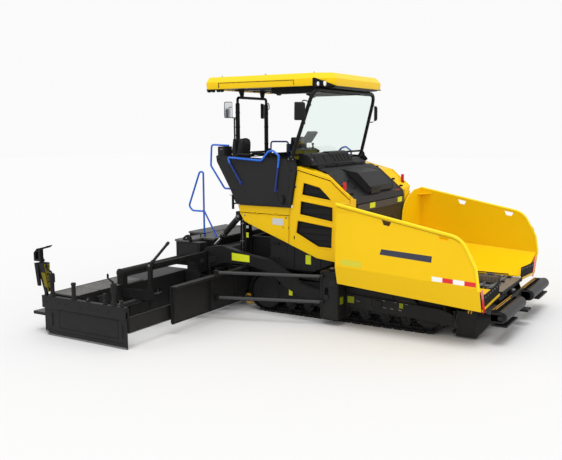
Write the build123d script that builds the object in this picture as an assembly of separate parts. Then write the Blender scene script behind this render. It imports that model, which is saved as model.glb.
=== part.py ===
from build123d import *
import math
import os

os.makedirs("parts", exist_ok=True)

# Tracked asphalt paver with its levelled screed, in millimetres.
# Drafting frame: x = 0 at the drive sprocket, +x to the hopper, +y to the
# machine's left, z = 0 on the ground.  X_MID moves the middle of the whole
# length to the origin when a piece is written.
X_MID = 717.5

# ------------------------------------------------------------ driving sizes
SPROCKET = (-50, 335, 335)      # x, z, radius over the shoes
IDLER = (2700, 300, 300)        # x, z, radius over the shoes
TRACK_Y = (935, 1255)           # inner and outer face
TRACK_T = 75                    # loop thickness with shoe
SHOES = 44
NOTCH = 20                      # gap depth between shoes

HULL_Y = 900                    # outer face of the tractor's side plates
FLOOR_Z = 600                   # conveyor floor
TUNNEL_Z = 1000                 # conveyor tunnel roof
COVER_Y = 1240                  # outer face of the yellow side covers
COVER_T = 35
COVER_X1 = 1425                 # front edge of the covers
PLAT_Y = 1240                   # platform, inside its side panels
PLAT_FLOOR = 1900
WING_X0 = 1453                  # wing rear edge
TOW = (1200, 440)               # x, z of the tow pins
TOW_LIFT = 120                  # travel of the tow points
ARM_Y = (1360, 1480)
AUGER = (-780, 400, 190, 40)    # x, z, flight radius, shaft radius
EXT_TRAVEL = 1200
FIT = 0.05                      # radial running clearance


# ------------------------------------------------------------ helpers
def box(x0, x1, y0, y1, z0, z1):
    return Pos((x0 + x1) / 2, (y0 + y1) / 2, (z0 + z1) / 2) * Box(
        abs(x1 - x0), abs(y1 - y0), abs(z1 - z0))


def face(points):
    return Face(Wire.make_polygon([Vector(*p) for p in points], close=True))


def prism_y(outline, y0, y1):
    """outline of (x, z) pushed from y0 to y1"""
    return Solid.extrude(face([(x, y0, z) for x, z in outline]), Vector(0, y1 - y0, 0))


def prism_x(outline, x0, x1):
    """outline of (y, z) pushed from x0 to x1"""
    return Solid.extrude(face([(x0, y, z) for y, z in outline]), Vector(x1 - x0, 0, 0))


def prism_z(outline, z0, z1):
    """outline of (x, y) pushed from z0 to z1"""
    return Solid.extrude(face([(x, y, z0) for x, y in outline]), Vector(0, 0, z1 - z0))


def rod(p, q, r):
    d = Vector(*q) - Vector(*p)
    return Solid.make_cylinder(r, d.length, Plane(origin=p, z_dir=d))


def cyl_y(x, z, r, y0, y1):
    return rod((x, y0, z), (x, y1, z), r)


def cyl_z(x, y, r, z0, z1):
    return rod((x, y, z0), (x, y, z1), r)


def cyl_x(y, z, r, x0, x1):
    return rod((x0, y, z), (x1, y, z), r)


def bent_tube(points, r, bend):
    path = FilletPolyline(*points, radius=bend)
    return sweep(Plane(origin=path @ 0, z_dir=path % 0) * Circle(r), path=path)


def ruled(sections):
    return Solid.make_loft(
        [Wire.make_polygon([Vector(*p) for p in s], close=True) for s in sections], ruled=True)


def left(shape):
    return mirror(shape, about=Plane.XZ)


def fuse(items):
    items = list(items)
    return items[0] + items[1:] if len(items) > 1 else items[0]


NODES = {}


def node(name, *shapes):
    solids = []
    for s in shapes:
        solids += list(s.solids())
    NODES[name] = [Pos(-X_MID, 0, 0) * s for s in solids]


def both(name, *shapes):
    """like pieces on both sides of one body share a node"""
    node(name, *(list(shapes) + [left(s) for s in shapes]))


def pair(name, *shapes):
    """right-hand piece (y < 0) and its mirror image"""
    node(name + "_right", *shapes)
    node(name + "_left", *[left(s) for s in shapes])


# ------------------------------------------------------------ tracks
def loop_line():
    """outline of the track loop: a function of running length and inset, and the whole length"""
    xs, zs, rs = SPROCKET
    xi, zi, ri = IDLER
    slope = 2 * math.asin((rs - ri) / (xi - xs))
    top = math.pi / 2 - slope
    length_b = xi - xs
    arc_f = ri * (top + math.pi / 2)
    p_f = (xi + ri * math.cos(top), zi + ri * math.sin(top))
    p_r = (xs + rs * math.cos(top), zs + rs * math.sin(top))
    length_t = math.dist(p_f, p_r)
    arc_r = rs * (1.5 * math.pi - top)
    total = length_b + arc_f + length_t + arc_r

    def at(s, inset):
        s %= total
        if s < length_b:
            return xs + s, inset
        s -= length_b
        if s < arc_f:
            a = -math.pi / 2 + s / ri
            return xi + (ri - inset) * math.cos(a), zi + (ri - inset) * math.sin(a)
        s -= arc_f
        if s < length_t:
            t = s / length_t
            return (p_f[0] + (p_r[0] - p_f[0]) * t - inset * math.cos(top),
                    p_f[1] + (p_r[1] - p_f[1]) * t - inset * math.sin(top))
        s -= length_t
        a = top + s / rs
        return xs + (rs - inset) * math.cos(a), zs + (rs - inset) * math.sin(a)
    return at, total


def track():
    at, total = loop_line()
    pitch = total / SHOES
    outer = []
    for i in range(SHOES):
        s = i * pitch
        for ds, inset in ((0.04, 0), (0.86, 0), (0.88, NOTCH), (1.02, NOTCH)):
            outer.append(at(s + ds * pitch, inset))
    inner = [at(i * total / 96, TRACK_T) for i in range(96)]
    y0, y1 = -TRACK_Y[1], -TRACK_Y[0]
    return prism_y(outer, y0, y1) - prism_y(inner, y0 - 5, y1 + 5)


pair("track", track())

# track frame with sprocket, idler, bottom and top rollers
FRAME_Y = (-1195, -995)
frame_bits = [
    prism_y([(120, 300), (260, 190), (2420, 190), (2520, 280), (2520, 380), (2380, 470),
             (300, 480), (120, 400)], -1215, -985),
    cyl_y(SPROCKET[0], SPROCKET[1], SPROCKET[2] - TRACK_T - 4, *FRAME_Y),
    cyl_y(IDLER[0], IDLER[1], IDLER[2] - TRACK_T - 4, *FRAME_Y),
    box(-50, 260, -1150, -1040, 270, 420),
    box(2400, 2700, -1150, -1040, 250, 350),
    box(420, 720, -985, -HULL_Y, 330, 450),
    box(1900, 2200, -985, -HULL_Y, 330, 450),
]
# rollers: x, z, radius
ROLLERS = [(380 + 330 * i, 75 + 85 + 2, 85) for i in range(7)] + [(800, 505, 58), (1800, 482, 58)]
for x, z, r in ROLLERS:
    frame_bits.append(cyl_y(x, z, r, *FRAME_Y))
frame_bits.append(cyl_y(-50, 335, 245, -1272, -1190))      # final drive cover
# cover plate under the wing, on stand-offs through the loop
frame_bits.append(prism_y([(1300, 130), (2836, 130), (3090, 200), (3090, 345), (2900, 400), (1300, 470)], -1268, -1260)
                  - prism_y([(1260, 60), (2900, 60), (2900, 190), (1260, 275)], -1300, -1250))
for x in (1400, 1900, 2380):
    frame_bits.append(box(x, x + 40, -1262, -1205, 320, 360))
both("track_frames", fuse(frame_bits))

# ------------------------------------------------------------ tractor hull
side_plate = prism_y([(-550, 300), (3300, 300), (3380, 400), (3380, 545), (1400, 545),
                      (1400, 1180), (-550, 1180)], -HULL_Y, -HULL_Y + 40)
hull = [side_plate, left(side_plate),
        box(-400, 3300, -880, 880, 300, 320),
        box(-550, 1400, -880, 880, TUNNEL_Z, TUNNEL_Z + 20),
        box(-550, -530, -880, 880, TUNNEL_Z, 1180),
        box(3290, 3380, -880, 880, 305, 545),
        # tongue that carries the push beam's pin
        box(3300, 3632, -120, 120, 285, 310),
        box(3300, 3632, -120, 120, 500, 520),
        cyl_z(3600, 0, 30, 285, 520),
        # brackets of the tow columns, over the tracks
        box(1110, 1395, -1300, -860, 700, 780), box(1110, 1395, 860, 1300, 700, 780)]

# engine: the one heavy mass that is closed inside
node("engine_block", box(150, 1250, -420, 420, TUNNEL_Z + 22, 1830))

tank = prism_x([(-905, 690), (-1120, 690), (-1160, 730), (-1160, 1540), (-905, 1540)], -20, 1150)
both("side_tanks", tank - prism_y([(1160, 690), (700, 690), (1160, 900)], -1200, -900))

# columns behind the hull that carry the platform and the lift cylinders
column = (box(-660, -552, -1080, -905, 640, 1838)
          + prism_y([(-560, 1300), (-560, 1838), (-120, 1838), (-120, 1820)], -1060, -1020)
          + box(-560, -535, -960, -880, 645, 1175))
PIVOT = (-620, 1540)                             # upper pin of a lift cylinder, x, z
CYL_Y = 1150
bracket = (box(-665, -575, -1100, -1070, 1490, 1620) + cyl_y(PIVOT[0], PIVOT[1], 20, -1210, -1085)
           + box(-665, -575, -1218, -1200, 1490, 1620) + box(-665, -575, -1218, -1070, 1592, 1620))
scraper = (box(3130, 3416, -1225, -1200, 30, 400) + box(3262, 3416, -1225, -1200, 400, 470)
           + ruled([[(3400, -1225, 30), (3416, -1200, 30), (3416, -1200, 420), (3400, -1225, 420)],
                    [(3545, -865, 230), (3570, -860, 230), (3570, -860, 300), (3545, -865, 300)]])
           + box(3070, 3210, -1205, -905, 60, 90) + box(3070, 3110, -935, -HULL_Y + 10, 60, 310))
WCYL_PIVOT, WCYL_EYE, WCYL_X = (-960, 300), (-1500, 660), 3200      # (y, z) of the pins, x of the plane
wing_bracket = (box(3125, 3145, -1000, -HULL_Y + 10, 255, 345) + box(3255, 3275, -1000, -HULL_Y + 10, 255, 345)
                + rod((3125, -960, 300), (3275, -960, 300), 20))
for s in (column, bracket, scraper, wing_bracket):
    hull += [s, left(s)]
node("main_frame", fuse(hull))

# ------------------------------------------------------------ conveyors
slats = [box(-480, 1446, -858, 858, FLOOR_Z - 40, FLOOR_Z),
         box(1446, 3600, -598, 598, FLOOR_Z - 40, FLOOR_Z),
         box(-450, 3400, -50, 50, FLOOR_Z, FLOOR_Z + 110)]
for side in (-1, 1):
    for i in range(24):
        x = -440 + 165 * i
        slats.append(box(x, x + 40, side * 75, side * 560, FLOOR_Z - 1, FLOOR_Z + 25))
# knuckles of the wing hinges, in turn on the conveyor frame and on the wing
WING_HINGE = (620, 620, 13)                      # y, z, radius
for side in (-1, 1):
    for x in (1640, 2340, 3040):
        slats.append(cyl_x(side * WING_HINGE[0], WING_HINGE[1], WING_HINGE[2], x, x + 120)
                     + box(x, x + 120, side * 585, side * WING_HINGE[0], 590, 612))
node("conveyor_floor", fuse(slats))

hopper_back = (box(1401, 1440, -950, 950, 1022, 1790)
               + box(1401, 1440, -950, -905, 650, 1062) + box(1401, 1440, 905, 950, 650, 1062))
node("hopper_back", hopper_back)

# ------------------------------------------------------------ hopper wings
# wing sections, right-hand wing: y and z of outer wall points against x
WING_SIDE = [(WING_X0, 701), (3585, 511), (3592, 850), (3500, 1295), (3440, 1420), (3350, 1505),
             (3245, 1546), (WING_X0, 1892)]


def wing_y(z):
    """outer wall's y: widest at the crease, leaning in above and below it"""
    return 1760 - 30 * max(0, z - 900) / 900 - 120 * max(0, 900 - z) / 300


def wing():
    t = 20
    # outer wall: lower band under the crease and tall band over it
    low_o = [(WING_X0, -wing_y(701), 701), (3585, -wing_y(511), 511), (3592, -1760, 850),
             (WING_X0, -1760, 984)]
    low_i = [(x, y + t, z) for x, y, z in low_o]
    up = [(WING_X0, 984), (3592, 850), (3500, 1295), (3440, 1420), (3350, 1505), (3245, 1546),
          (WING_X0, 1892)]
    up_o = [(x, -1760 + 30 * (z - 850) / 1042, z) for x, z in up]
    up_i = [(x, y + t, z) for x, y, z in up_o]
    wall = ruled([low_o, low_i]) + ruled([up_o, up_i])
    # floor in two slopes: outer and inner, sections at the rear and at the front (y, z)
    rear_top = [(-640, 640), (-1180, 700), (-1600, 860), (-1750, 990)]
    front_top = [(-640, 625), (-1150, 660), (-1540, 765), (-1745, 840)]
    rear_sec = rear_top + [(y, z - 24) for y, z in rear_top[::-1]]
    front_sec = front_top + [(y, z - 24) for y, z in front_top[::-1]]
    floor = ruled([[(WING_X0, y, z) for y, z in rear_sec], [(3560, y, z) for y, z in front_sec]])
    # rear wall, cut to a curve at its inner top corner
    rear = prism_x([(-1752, 960), (-1620, 850), (-1180, 680), (-830, 650), (-825, 1381),
                    (-850, 1520), (-909, 1638), (-1000, 1720), (-1100, 1780), (-1376, 1868), (-1735, 1884)], WING_X0, WING_X0 + 20)
    gusset = prism_z([(WING_X0 + 20, -1730), (WING_X0 + 230, -1730), (WING_X0 + 20, -1500)], 1780, 1792)
    # rolled rail along the top edge
    rail = rod((WING_X0, -1733, 1889), (3245, -1738, 1545), 20)
    lugs = (prism_x([(-1555, 610), (-1555, 760), (-1430, 730), (-1430, 610)], 3140, 3158)
            + prism_x([(-1555, 610), (-1555, 760), (-1430, 730), (-1430, 610)], 3242, 3260))
    knuckles = [cyl_x(-WING_HINGE[0], WING_HINGE[1], WING_HINGE[2], x, x + 120)
                + box(x, x + 120, -665, -WING_HINGE[0], 611, 631) for x in (1510, 2210, 2910)]
    body = fuse([wall, floor, rear, gusset, rail, lugs] + knuckles)
    # clearance slot where the floor meets the lugs stays filled; notches under the rail
    for x in (2245, 3080):
        z = 1889 - (x - WING_X0) * (1889 - 1545) / (3245 - WING_X0)
        body = body - prism_y([(x - 75, z - 25), (x + 75, z - 55), (x + 45, z - 105), (x - 45, z - 90)],
                              -1800, -1690)
    return body


pair("hopper_wing", wing())
pair("wing_flap", prism_x([(-660, 560), (-1560, 500), (-1640, 520), (-1640, 720), (-660, 758)],
                          3562, 3577) - box(3550, 3590, -1700, -1600, 640, 800))

# ------------------------------------------------------------ push beam, rollers, scrapers
ROLLER = (3790, 407, 85)                         # x, z, radius
beam = [box(3640, 3698, -1300, 1300, 320, 488),
        box(3550, 3662, -85, 85, 330, 480) - cyl_z(3600, 0, 30 + FIT, 320, 490),
        box(3640, 3870, -110, 110, 225, 255) + box(3645, 3698, -110, 110, 225, 330)]
for s in (-1, 1):
    beam += [box(3662, 3825, s * 200, s * 235, 345, 470),
             box(3662, 3815, s * 1375, s * 1400, 360, 450),
             box(3662, 3698, s * 1290, s * 1400, 360, 450),
             box(3645, 3860, s * 700, s * 1300, 262, 282),
             box(3645, 3698, s * 700, s * 1300, 262, 322),
             cyl_y(ROLLER[0], ROLLER[1], 20, s * 205, s * 1395)]
beam_body = fuse(beam) - cyl_z(3810, 0, 25, 200, 300)
node("push_beam", beam_body)
roller = cyl_y(ROLLER[0], ROLLER[1], ROLLER[2], -1362, -250) - cyl_y(ROLLER[0], ROLLER[1], 20 + FIT, -1370, -240)
pair("push_roller", roller)

# ------------------------------------------------------------ tow points and arms
column = (box(1090, 1400, -1335, -1300, 120, 830) + box(1090, 1400, -1530, -1500, 120, 830)
          + box(1370, 1400, -1530, -1300, 120, 830) + box(1090, 1400, -1530, -1300, 805, 830))
slot = (cyl_y(TOW[0], TOW[1], 31, -1540, -1290) + cyl_y(TOW[0], TOW[1] + TOW_LIFT, 31, -1540, -1290)
        + box(TOW[0] - 31, TOW[0] + 31, -1540, -1290, TOW[1], TOW[1] + TOW_LIFT))
both("tow_columns", column - slot)
both("tow_pins", cyl_y(TOW[0], TOW[1], 30, -1545, -1290))

ARM = [(-800, 1070), (-259, 956), (91, 911), (376, 763), (584, 660), (696, 561), (913, 511),
       (1180, 511), (1255, 470), (1262, 420), (1220, 372), (1087, 361), (737, 370), (514, 468),
       (247, 626), (90, 723), (-261, 791), (-760, 786), (-1010, 690), (-1030, 320), (-1200, 300),
       (-1200, 900), (-1120, 1010), (-930, 1050)]
arm = prism_y(ARM, -ARM_Y[1], -ARM_Y[0]) - cyl_y(TOW[0], TOW[1], 30 + FIT, -1500, -1340)
both("tow_arms", arm)

# ------------------------------------------------------------ auger and its guards
def auger():
    x, z, r, rs = AUGER
    bits = [cyl_y(x, z, rs, -2400, -135)]
    for i in range(10):
        y = -250 - 235 * i
        if abs(abs(y) - 1202) < 40:
            y -= 45
        bits.append(cyl_y(x, z, r, y - 6, y + 6))
    return fuse(bits)


pair("auger", auger())
gearcase = (prism_y([(-600, 560), (-550, 690), (-550, 1178), (-620, 1178), (-640, 700), (-700, 640), (-880, 480),
                     (-880, 330), (-820, 280), (-720, 280), (-660, 330)], -110, 110)
            + cyl_y(AUGER[0], AUGER[1], 60, -125, 125))
hanger = (box(-850, -715, -1216, -1190, 345, 700) + box(-850, -555, -1216, -1190, 640, 700)
          + box(-610, -555, -1216, -1080, 640, 700) - cyl_y(AUGER[0], AUGER[1], AUGER[3] + FIT, -1220, -1185))
node("auger_supports", gearcase, hanger, left(hanger))

guard = (box(-500, -480, -3165, -1240, 180, 725) + box(-480, -400, -3165, -1240, 705, 725)
         + box(-553, -480, -1240, -1090, 300, 630) + box(-500, -480, -1250, -1220, 300, 630))
for y in (-1560, -2240, -3130):                  # upright ribs
    guard = guard + box(-480, -440, y - 10, y + 10, 180, 706)
STAY_Z = (757, 360)
for z in STAY_Z:                                 # long stay tubes from the tow columns
    guard = guard + rod((1150, -1556, z), (-420, -2090, z), 24) + box(-484, -400, -2120, -2060, z - 60, z + 30)
both("auger_guards", guard)

# ------------------------------------------------------------ screed, centre part
CYL_EYE = (-1310, 850)                           # lower eye of a lift cylinder, x, z
lower = prism_y([(-1050, 40), (-1080, 8), (-1130, 0), (-1530, 0), (-1530, 600), (-1050, 600)], -1500, 1500)
deck = box(-1250, -1760, -1450, 1450, 665, 1070)
neck = box(-1250, -1530, -1450, 1450, 590, 700)
front = prism_y([(-905, 640), (-905, 900), (-960, 960), (-1260, 960), (-1260, 560), (-1040, 560), (-1040, 600)],
                -1030, 1030)
screed = fuse([lower, neck, deck, front])
hollow = (box(-1735, -1275, -1430, 1430, 690, 1045) + box(-1505, -1075, -1475, 1475, 30, 575)
          + box(-1505, -1275, -1430, 1430, 560, 700))
for s in (-1, 1):
    hollow = (hollow - box(-1510, -1215, s * 1035, s * 1265, 540, 1080)
              - box(-1230, -1040, s * 1325, s * 1500, 265, 605))
screed = screed - hollow
for s in (-1, 1):
    notch = box(-1485, -1240, s * 1060, s * 1240, 585, 1080)
    screed = screed - notch
    # telescopic guide bores for the extension, open at the ends
    screed = screed - cyl_y(-1620, 780, 70 + FIT, s * 5, s * 1460)
    screed = screed - box(-1050, -1205, s * 1350, s * 1505, 290, 605)
# outrigger from the screed's end towards the extension's post
for s in (-1, 1):
    screed = screed + (box(-1180, -1055, s * 1500, s * 1480, 560, 960) + box(-1100, -1060, s * 1490, s * 2930, 885, 955)
                       + Solid.extrude(face([(-1090, s * 1490, 620), (-1090, s * 1740, 640), (-1090, s * 1700, 760),
                                             (-1090, s * 1750, 890), (-1090, s * 1490, 890)]), Vector(20, 0, 0)))
node("screed_frame", screed)
node("screed_walkway", box(-1785, -1490, -1450, 1450, 1070, 1100) + box(-1490, -1245, -1050, 1050, 1070, 1100)
     + box(-2150, -1762, -600, 600, 1080, 1110) + box(-1785, -1762, -600, 600, 1000, 1110)
     + box(-2130, -2100, -600, 600, 860, 1080) + box(-1762, -2130, -590, -560, 900, 1080)
     + box(-1762, -2130, 560, 590, 900, 1080))

# stair rail of blue tube, on the right of the centre steps
R_TUBE = 17
RAIL_X, RAIL_Y = -1640, -800
stair = (bent_tube([(RAIL_X, RAIL_Y, 1100), (RAIL_X, RAIL_Y, 2230), (RAIL_X - 80, RAIL_Y, 2230),
                    (RAIL_X - 330, RAIL_Y, 1610), (RAIL_X - 250, RAIL_Y, 1530), (RAIL_X, RAIL_Y, 1530)],
                   R_TUBE, 38)
         + rod((RAIL_X, RAIL_Y, 1540), (RAIL_X + 270, RAIL_Y, 1100), R_TUBE - 2))
node("stair_rail", stair - box(-1800, -1200, -1000, -600, 1060, 1100))


# ------------------------------------------------------------ screed extension (right-hand)
EXT = dict(x0=-2100, x1=-1585, y0=-3930, y1=-1340, top=585, walk=-2500)
ext_body = prism_y([(EXT["x1"], 60), (EXT["x1"] - 40, 0), (EXT["x0"], 0), (EXT["x0"], EXT["top"]),
                    (EXT["x1"], EXT["top"])], EXT["y0"], EXT["y1"])
ext_body = ext_body - box(-2075, -1610, EXT["y0"] + 25, EXT["y1"] + 10, 25, 560)
link = prism_y([(-1590, 430), (-985, 430), (-985, 600), (-1045, 640), (-1120, 560), (-1590, 560)], -3010, -2970)
saddle = box(-1680, -1560, -3000, -2900, 560, 740)
guide = cyl_y(-1620, 780, 70, -2990, -1250)
post_in = box(-1045, -985, -3020, -2965, 430, 1000)
strut = rod((-1000, -2990, 985), (-1300, -2218, 1175), 22)
low_tube = rod((-1230, -3960, 400), (-1230, -2710, 400), 28)
low_lug = box(-1590, -1200, -2750, -2712, 330, 470)
face_plate = box(-566, -546, -3985, -3000, 220, 440)
frame_r = fuse([ext_body, link, saddle, guide, post_in, strut, low_tube, low_lug])

# end beam with its spindle posts: x, top z, radius, crank
beam_r = [box(-2165, -546, -4060, -4000, 410, 585) - box(-2150, -540, -4048, -4012, 400, 520), box(-2165, -2100, -4000, -3925, 410, 585),
          box(-1700, -1585, -4000, -3925, 430, 560), box(-600, -566, -4000, -3985, 410, 560),
          box(-600, -546, -4000, -3985, 220, 560), box(-1260, -1200, -4000, -3940, 370, 560)]
POSTS = [(-1970, 925, 30, 1), (-1540, 830, 30, 0), (-940, 740, 20, 0), (-770, 900, 30, 1), (-630, 680, 18, 0)]
for x, top, r, crank in POSTS:
    beam_r.append(cyl_z(x, -4030, r, 560, top))
    if crank:
        beam_r.append(cyl_z(x, -4030, r + 12, top - 70, top - 10))
        beam_r.append(rod((x, -4030, top), (x - 100, -4030, top + 60), 9))
        beam_r.append(cyl_z(x - 100, -4030, 9, top + 55, top + 120))
plate = prism_y([(-2140, 60), (-2080, 10), (-2050, 0), (-548, 0), (-548, 435), (-2140, 435)], -4040, -4020)
pair("end_plate", plate)
footboard = (prism_z([(-2440, -3985), (-2170, -3985), (-2170, -3500), (-2400, -3500)], 285, 305)
             + box(-2175, -2100, -3900, -3520, 285, 305))
pair("extension_walkway", box(EXT["x0"] - 5, EXT["x1"], EXT["y0"], EXT["walk"], 585, 607)
     - box(-1690, -1550, -3005, -2895, 580, 610), footboard)

# operator's remote box at the screed's end
panel = ruled([[(-2150, -4010, 640), (-2060, -4010, 640), (-2060, -3990, 640), (-2150, -3990, 640)],
               [(-2205, -4060, 1060), (-2105, -4060, 1060), (-2105, -3940, 1060), (-2205, -3940, 1060)]])
stand = box(-2130, -2090, -4040, -4000, 580, 700)
handle = (box(-2215, -2190, -4030, -3970, 1050, 1130) + box(-2235, -2195, -4030, -3970, 1115, 1260)
          + ruled([[(-2235, -4030, 1245), (-2235, -3970, 1245), (-2235, -3970, 1260), (-2235, -4030, 1260)],
                   [(-2000, -4030, 1315), (-2000, -3970, 1315), (-2000, -3970, 1330), (-2000, -4030, 1330)]]))
pair("extension_frame", fuse([frame_r, panel, stand, handle, face_plate] + beam_r))

# ------------------------------------------------------------ lift cylinders
def cylinder(pivot, eye, at, r_out, r_rod, barrel_len, rod_start, axis):
    """barrel and rod between two pins; pivot and eye are (u, z) in the plane at constant
    y (axis 'y', u = x) or constant x (axis 'x', u = y)"""
    def p3(u, z):
        return (u, at, z) if axis == "y" else (at, u, z)
    length = math.dist(pivot, eye)
    ux, uz = (eye[0] - pivot[0]) / length, (eye[1] - pivot[1]) / length

    def on(s):
        return p3(pivot[0] + ux * s, pivot[1] + uz * s)

    def cross(c, r, half):
        if axis == "y":
            return rod((c[0], c[1] - half, c[2]), (c[0], c[1] + half, c[2]), r)
        return rod((c[0] - half, c[1], c[2]), (c[0] + half, c[1], c[2]), r)
    barrel = (rod(on(0), on(barrel_len), r_out) + cross(on(0), r_out - 3, 26)
              - rod(on(60), on(barrel_len + 5), r_rod + FIT) - cross(on(0), 20 + FIT, 80))
    rod_part = rod(on(rod_start), on(length), r_rod) + cross(on(length), 38, 24) - cross(on(length), 20, 60)
    return barrel, rod_part


b, r = cylinder(PIVOT, CYL_EYE, -CYL_Y, 45, 25, 560, 360, "y")
pair("lift_barrel", b)
pair("lift_rod", r)

b, r = cylinder(WCYL_PIVOT, WCYL_EYE, WCYL_X, 42, 24, 560, 75, "x")
pair("wing_barrel", b)
pair("wing_rod", r)

# ------------------------------------------------------------ engine covers
# cover outline rows: x, z of the outer ridge; x, z of the inner edge beside the hood
RIDGE = [((520, 2388), (520, 2400)), ((1110, 2236), (955, 2262)), ((1205, 2150), (1190, 2070)),
         ((1435, 1960), (1395, 1905))]
T = 45
outer_sec = [(x, -COVER_Y, z) for (x, z), _ in RIDGE] + [(x, -COVER_Y, z - T) for (x, z), _ in RIDGE[::-1]]
inner_sec = [(x, -1003, z) for _, (x, z) in RIDGE] + [(x, -1003, z - T) for _, (x, z) in RIDGE[::-1]]
shoulder = ruled([outer_sec, inner_sec])
front_wall = prism_y([(1400, 950), (1432, 950), (1432, 1900), (1400, 1900)], -1195, -1003)
DOOR_HINGE = (1427.5, -1245, 8)                  # x, y, radius of the knuckles
for z in (1120, 1720):
    front_wall = front_wall + cyl_z(*DOOR_HINGE, z + 50, z + 100) + box(1428, 1434, -1245, -1190, z + 50, z + 100)
FLAP_HINGE = (-1240.5, 1612.5, 8)                # y, z, radius
FLAP_HINGE_X = (-271, 131)
strip = prism_y([(-603, 1738), (395, 1736), (374, 1614), (-571, 1622)], -COVER_Y, -COVER_Y + COVER_T)
for x in FLAP_HINGE_X:
    strip = strip - box(x - 27, x + 27, -1260, -1200, 1600, 1628)
    for x0 in (x - 60, x + 30):
        strip = strip + cyl_x(*FLAP_HINGE, x0, x0 + 30) + box(x0, x0 + 30, -1240, -1233, 1614, 1640)
both("side_shoulders", shoulder + front_wall, strip)

# grille door: outline, then three window outlines
DOOR = [(529, 2325), (1102, 2176), (1190, 2092), (COVER_X1, 1900), (COVER_X1, 930), (1179, 932), (876, 966),
        (374, 1152), (380, 1611), (402, 1735), (432, 1738), (506, 2187)]
WINDOWS = [[(643, 2141), (921, 2074), (1138, 1883), (612, 1953)],
           [(592, 1850), (1147, 1775), (1148, 1557), (574, 1643)],
           [(534, 1538), (1140, 1464), (1131, 1142), (904, 1149), (504, 1336)]]
door = prism_y(DOOR, -COVER_Y, -COVER_Y + COVER_T)
for w in WINDOWS:
    door = door - prism_y(w, -COVER_Y - 5, -COVER_Y + COVER_T + 5)
for z in (1120, 1720):
    door = door - box(1413, 1440, -1260, -1200, z + 44, z + 106)
    door = door + cyl_z(*DOOR_HINGE, z, z + 42) + cyl_z(*DOOR_HINGE, z + 108, z + 150)
pair("grille_door", door)


def grow(outline, d):
    cx = sum(p[0] for p in outline) / len(outline)
    cz = sum(p[1] for p in outline) / len(outline)
    return [(x + d * (1 if x > cx else -1), z + d * (1 if z > cz else -1)) for x, z in outline]


pair("door_grilles", *[prism_y(grow(w, 22), -COVER_Y + COVER_T, -COVER_Y + COVER_T + 14) for w in WINDOWS])
FLAP = [(-569, 1610), (368, 1603), (364, 1158), (-381, 1428), (-487, 1477)]
flap = prism_y(FLAP, -COVER_Y, -COVER_Y + 30)
for x in FLAP_HINGE_X:
    for x0 in (x - 66, x + 24):
        flap = flap - box(x0, x0 + 42, -1260, -1200, 1598, 1625)
    flap = flap + cyl_x(*FLAP_HINGE, x - 21, x + 21) + box(x - 21, x + 21, -1240, -1233, 1585, 1611)
pair("side_flap", flap)

# engine hood, hinged at the rear edge
HOOD_HINGE = (765, 2342)
hood_o = [(765, 2352), (800, 2348), (962, 2268), (1395, 1908), (1428, 1810), (1388, 1810), (1362, 1885),
          (940, 2232), (790, 2305), (765, 2310)]
hood = prism_y(hood_o, -996, 996)
raised = prism_y([(850, 2318), (1165, 2262), (1378, 2050), (1392, 1965), (1340, 1930), (930, 2262)], -380, 560)
inside = prism_y([(900, 2280), (1150, 2230), (1345, 2030), (1352, 1960), (1320, 1930), (930, 2240)], -345, 525)
hood = hood + (raised - inside)
hood = hood - prism_y([(1330, 1985), (1420, 1985), (1420, 2010), (1330, 2010)], -345, -120)
hood = hood - prism_y([(1330, 1945), (1420, 1945), (1420, 1970), (1330, 1970)], -345, -120)
HOOD_HINGE_Y = (-700, 700)
for y in HOOD_HINGE_Y:
    for y0 in (y - 86, y + 34):
        hood = hood - box(755, 781, y0, y0 + 52, 2290, 2360)
    hood = hood + cyl_y(HOOD_HINGE[0], HOOD_HINGE[1], 10, y - 30, y + 30)
node("engine_hood", hood)
both("marker_lamps", cyl_z(1318, -1172, 26, 2010, 2158) - shoulder)

# ------------------------------------------------------------ operator's platform
floor = box(-640, 380, -PLAT_Y, PLAT_Y, 1840, PLAT_FLOOR) + box(380, 480, -1198, 1198, 1840, PLAT_FLOOR)
rear = prism_y([(-640, 1840), (-600, 1880), (-675, 2010), (-945, 2470), (-945, 2535), (-985, 2535), (-985, 2450),
                (-719, 1990)], -PLAT_Y, PLAT_Y)
gate = box(-1000, -560, -375, 375, PLAT_FLOOR + 2, 2600)
front_b = box(440, 480, -1198, 1198, PLAT_FLOOR, 2330)
platform = fuse([floor, rear - gate, front_b, box(-550, 400, -880, 880, 1832, 1845)])
platform = platform + box(-645, 480, -905, -880, 1740, 1845) + box(-645, 480, 880, 905, 1740, 1845)
PANEL = [(-1000, 2532), (-985, 2440), (-719, 1990), (-607, 1751), (418, 1744), (524, 2366), (500, 2478),
         (-748, 2522)]
both("platform_panels", prism_y(PANEL, -1290, -PLAT_Y))

# dash between platform and hood
dash = (prism_y([(505, 2240), (505, 2350), (745, 2350), (745, 2280), (700, 2240)], -1000, 1000)
        + prism_y([(505, 2345), (505, 2560), (560, 2585), (640, 2570), (745, 2410), (745, 2345)], -1003, 300)
        + prism_y([(505, 2402), (505, 2560), (560, 2585), (640, 2570), (745, 2410), (745, 2402)], -1150, -1000)
        + prism_y([(505, 2345), (505, 2455), (560, 2465), (640, 2455), (745, 2400), (745, 2345)], 295, 820))
for y in HOOD_HINGE_Y:
    for y0 in (y - 80, y + 40):
        dash = dash + cyl_y(HOOD_HINGE[0], HOOD_HINGE[1], 10, y0, y0 + 40) + box(735, 765, y0, y0 + 40, 2333, 2351)
node("dash_panel", dash)
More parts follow.
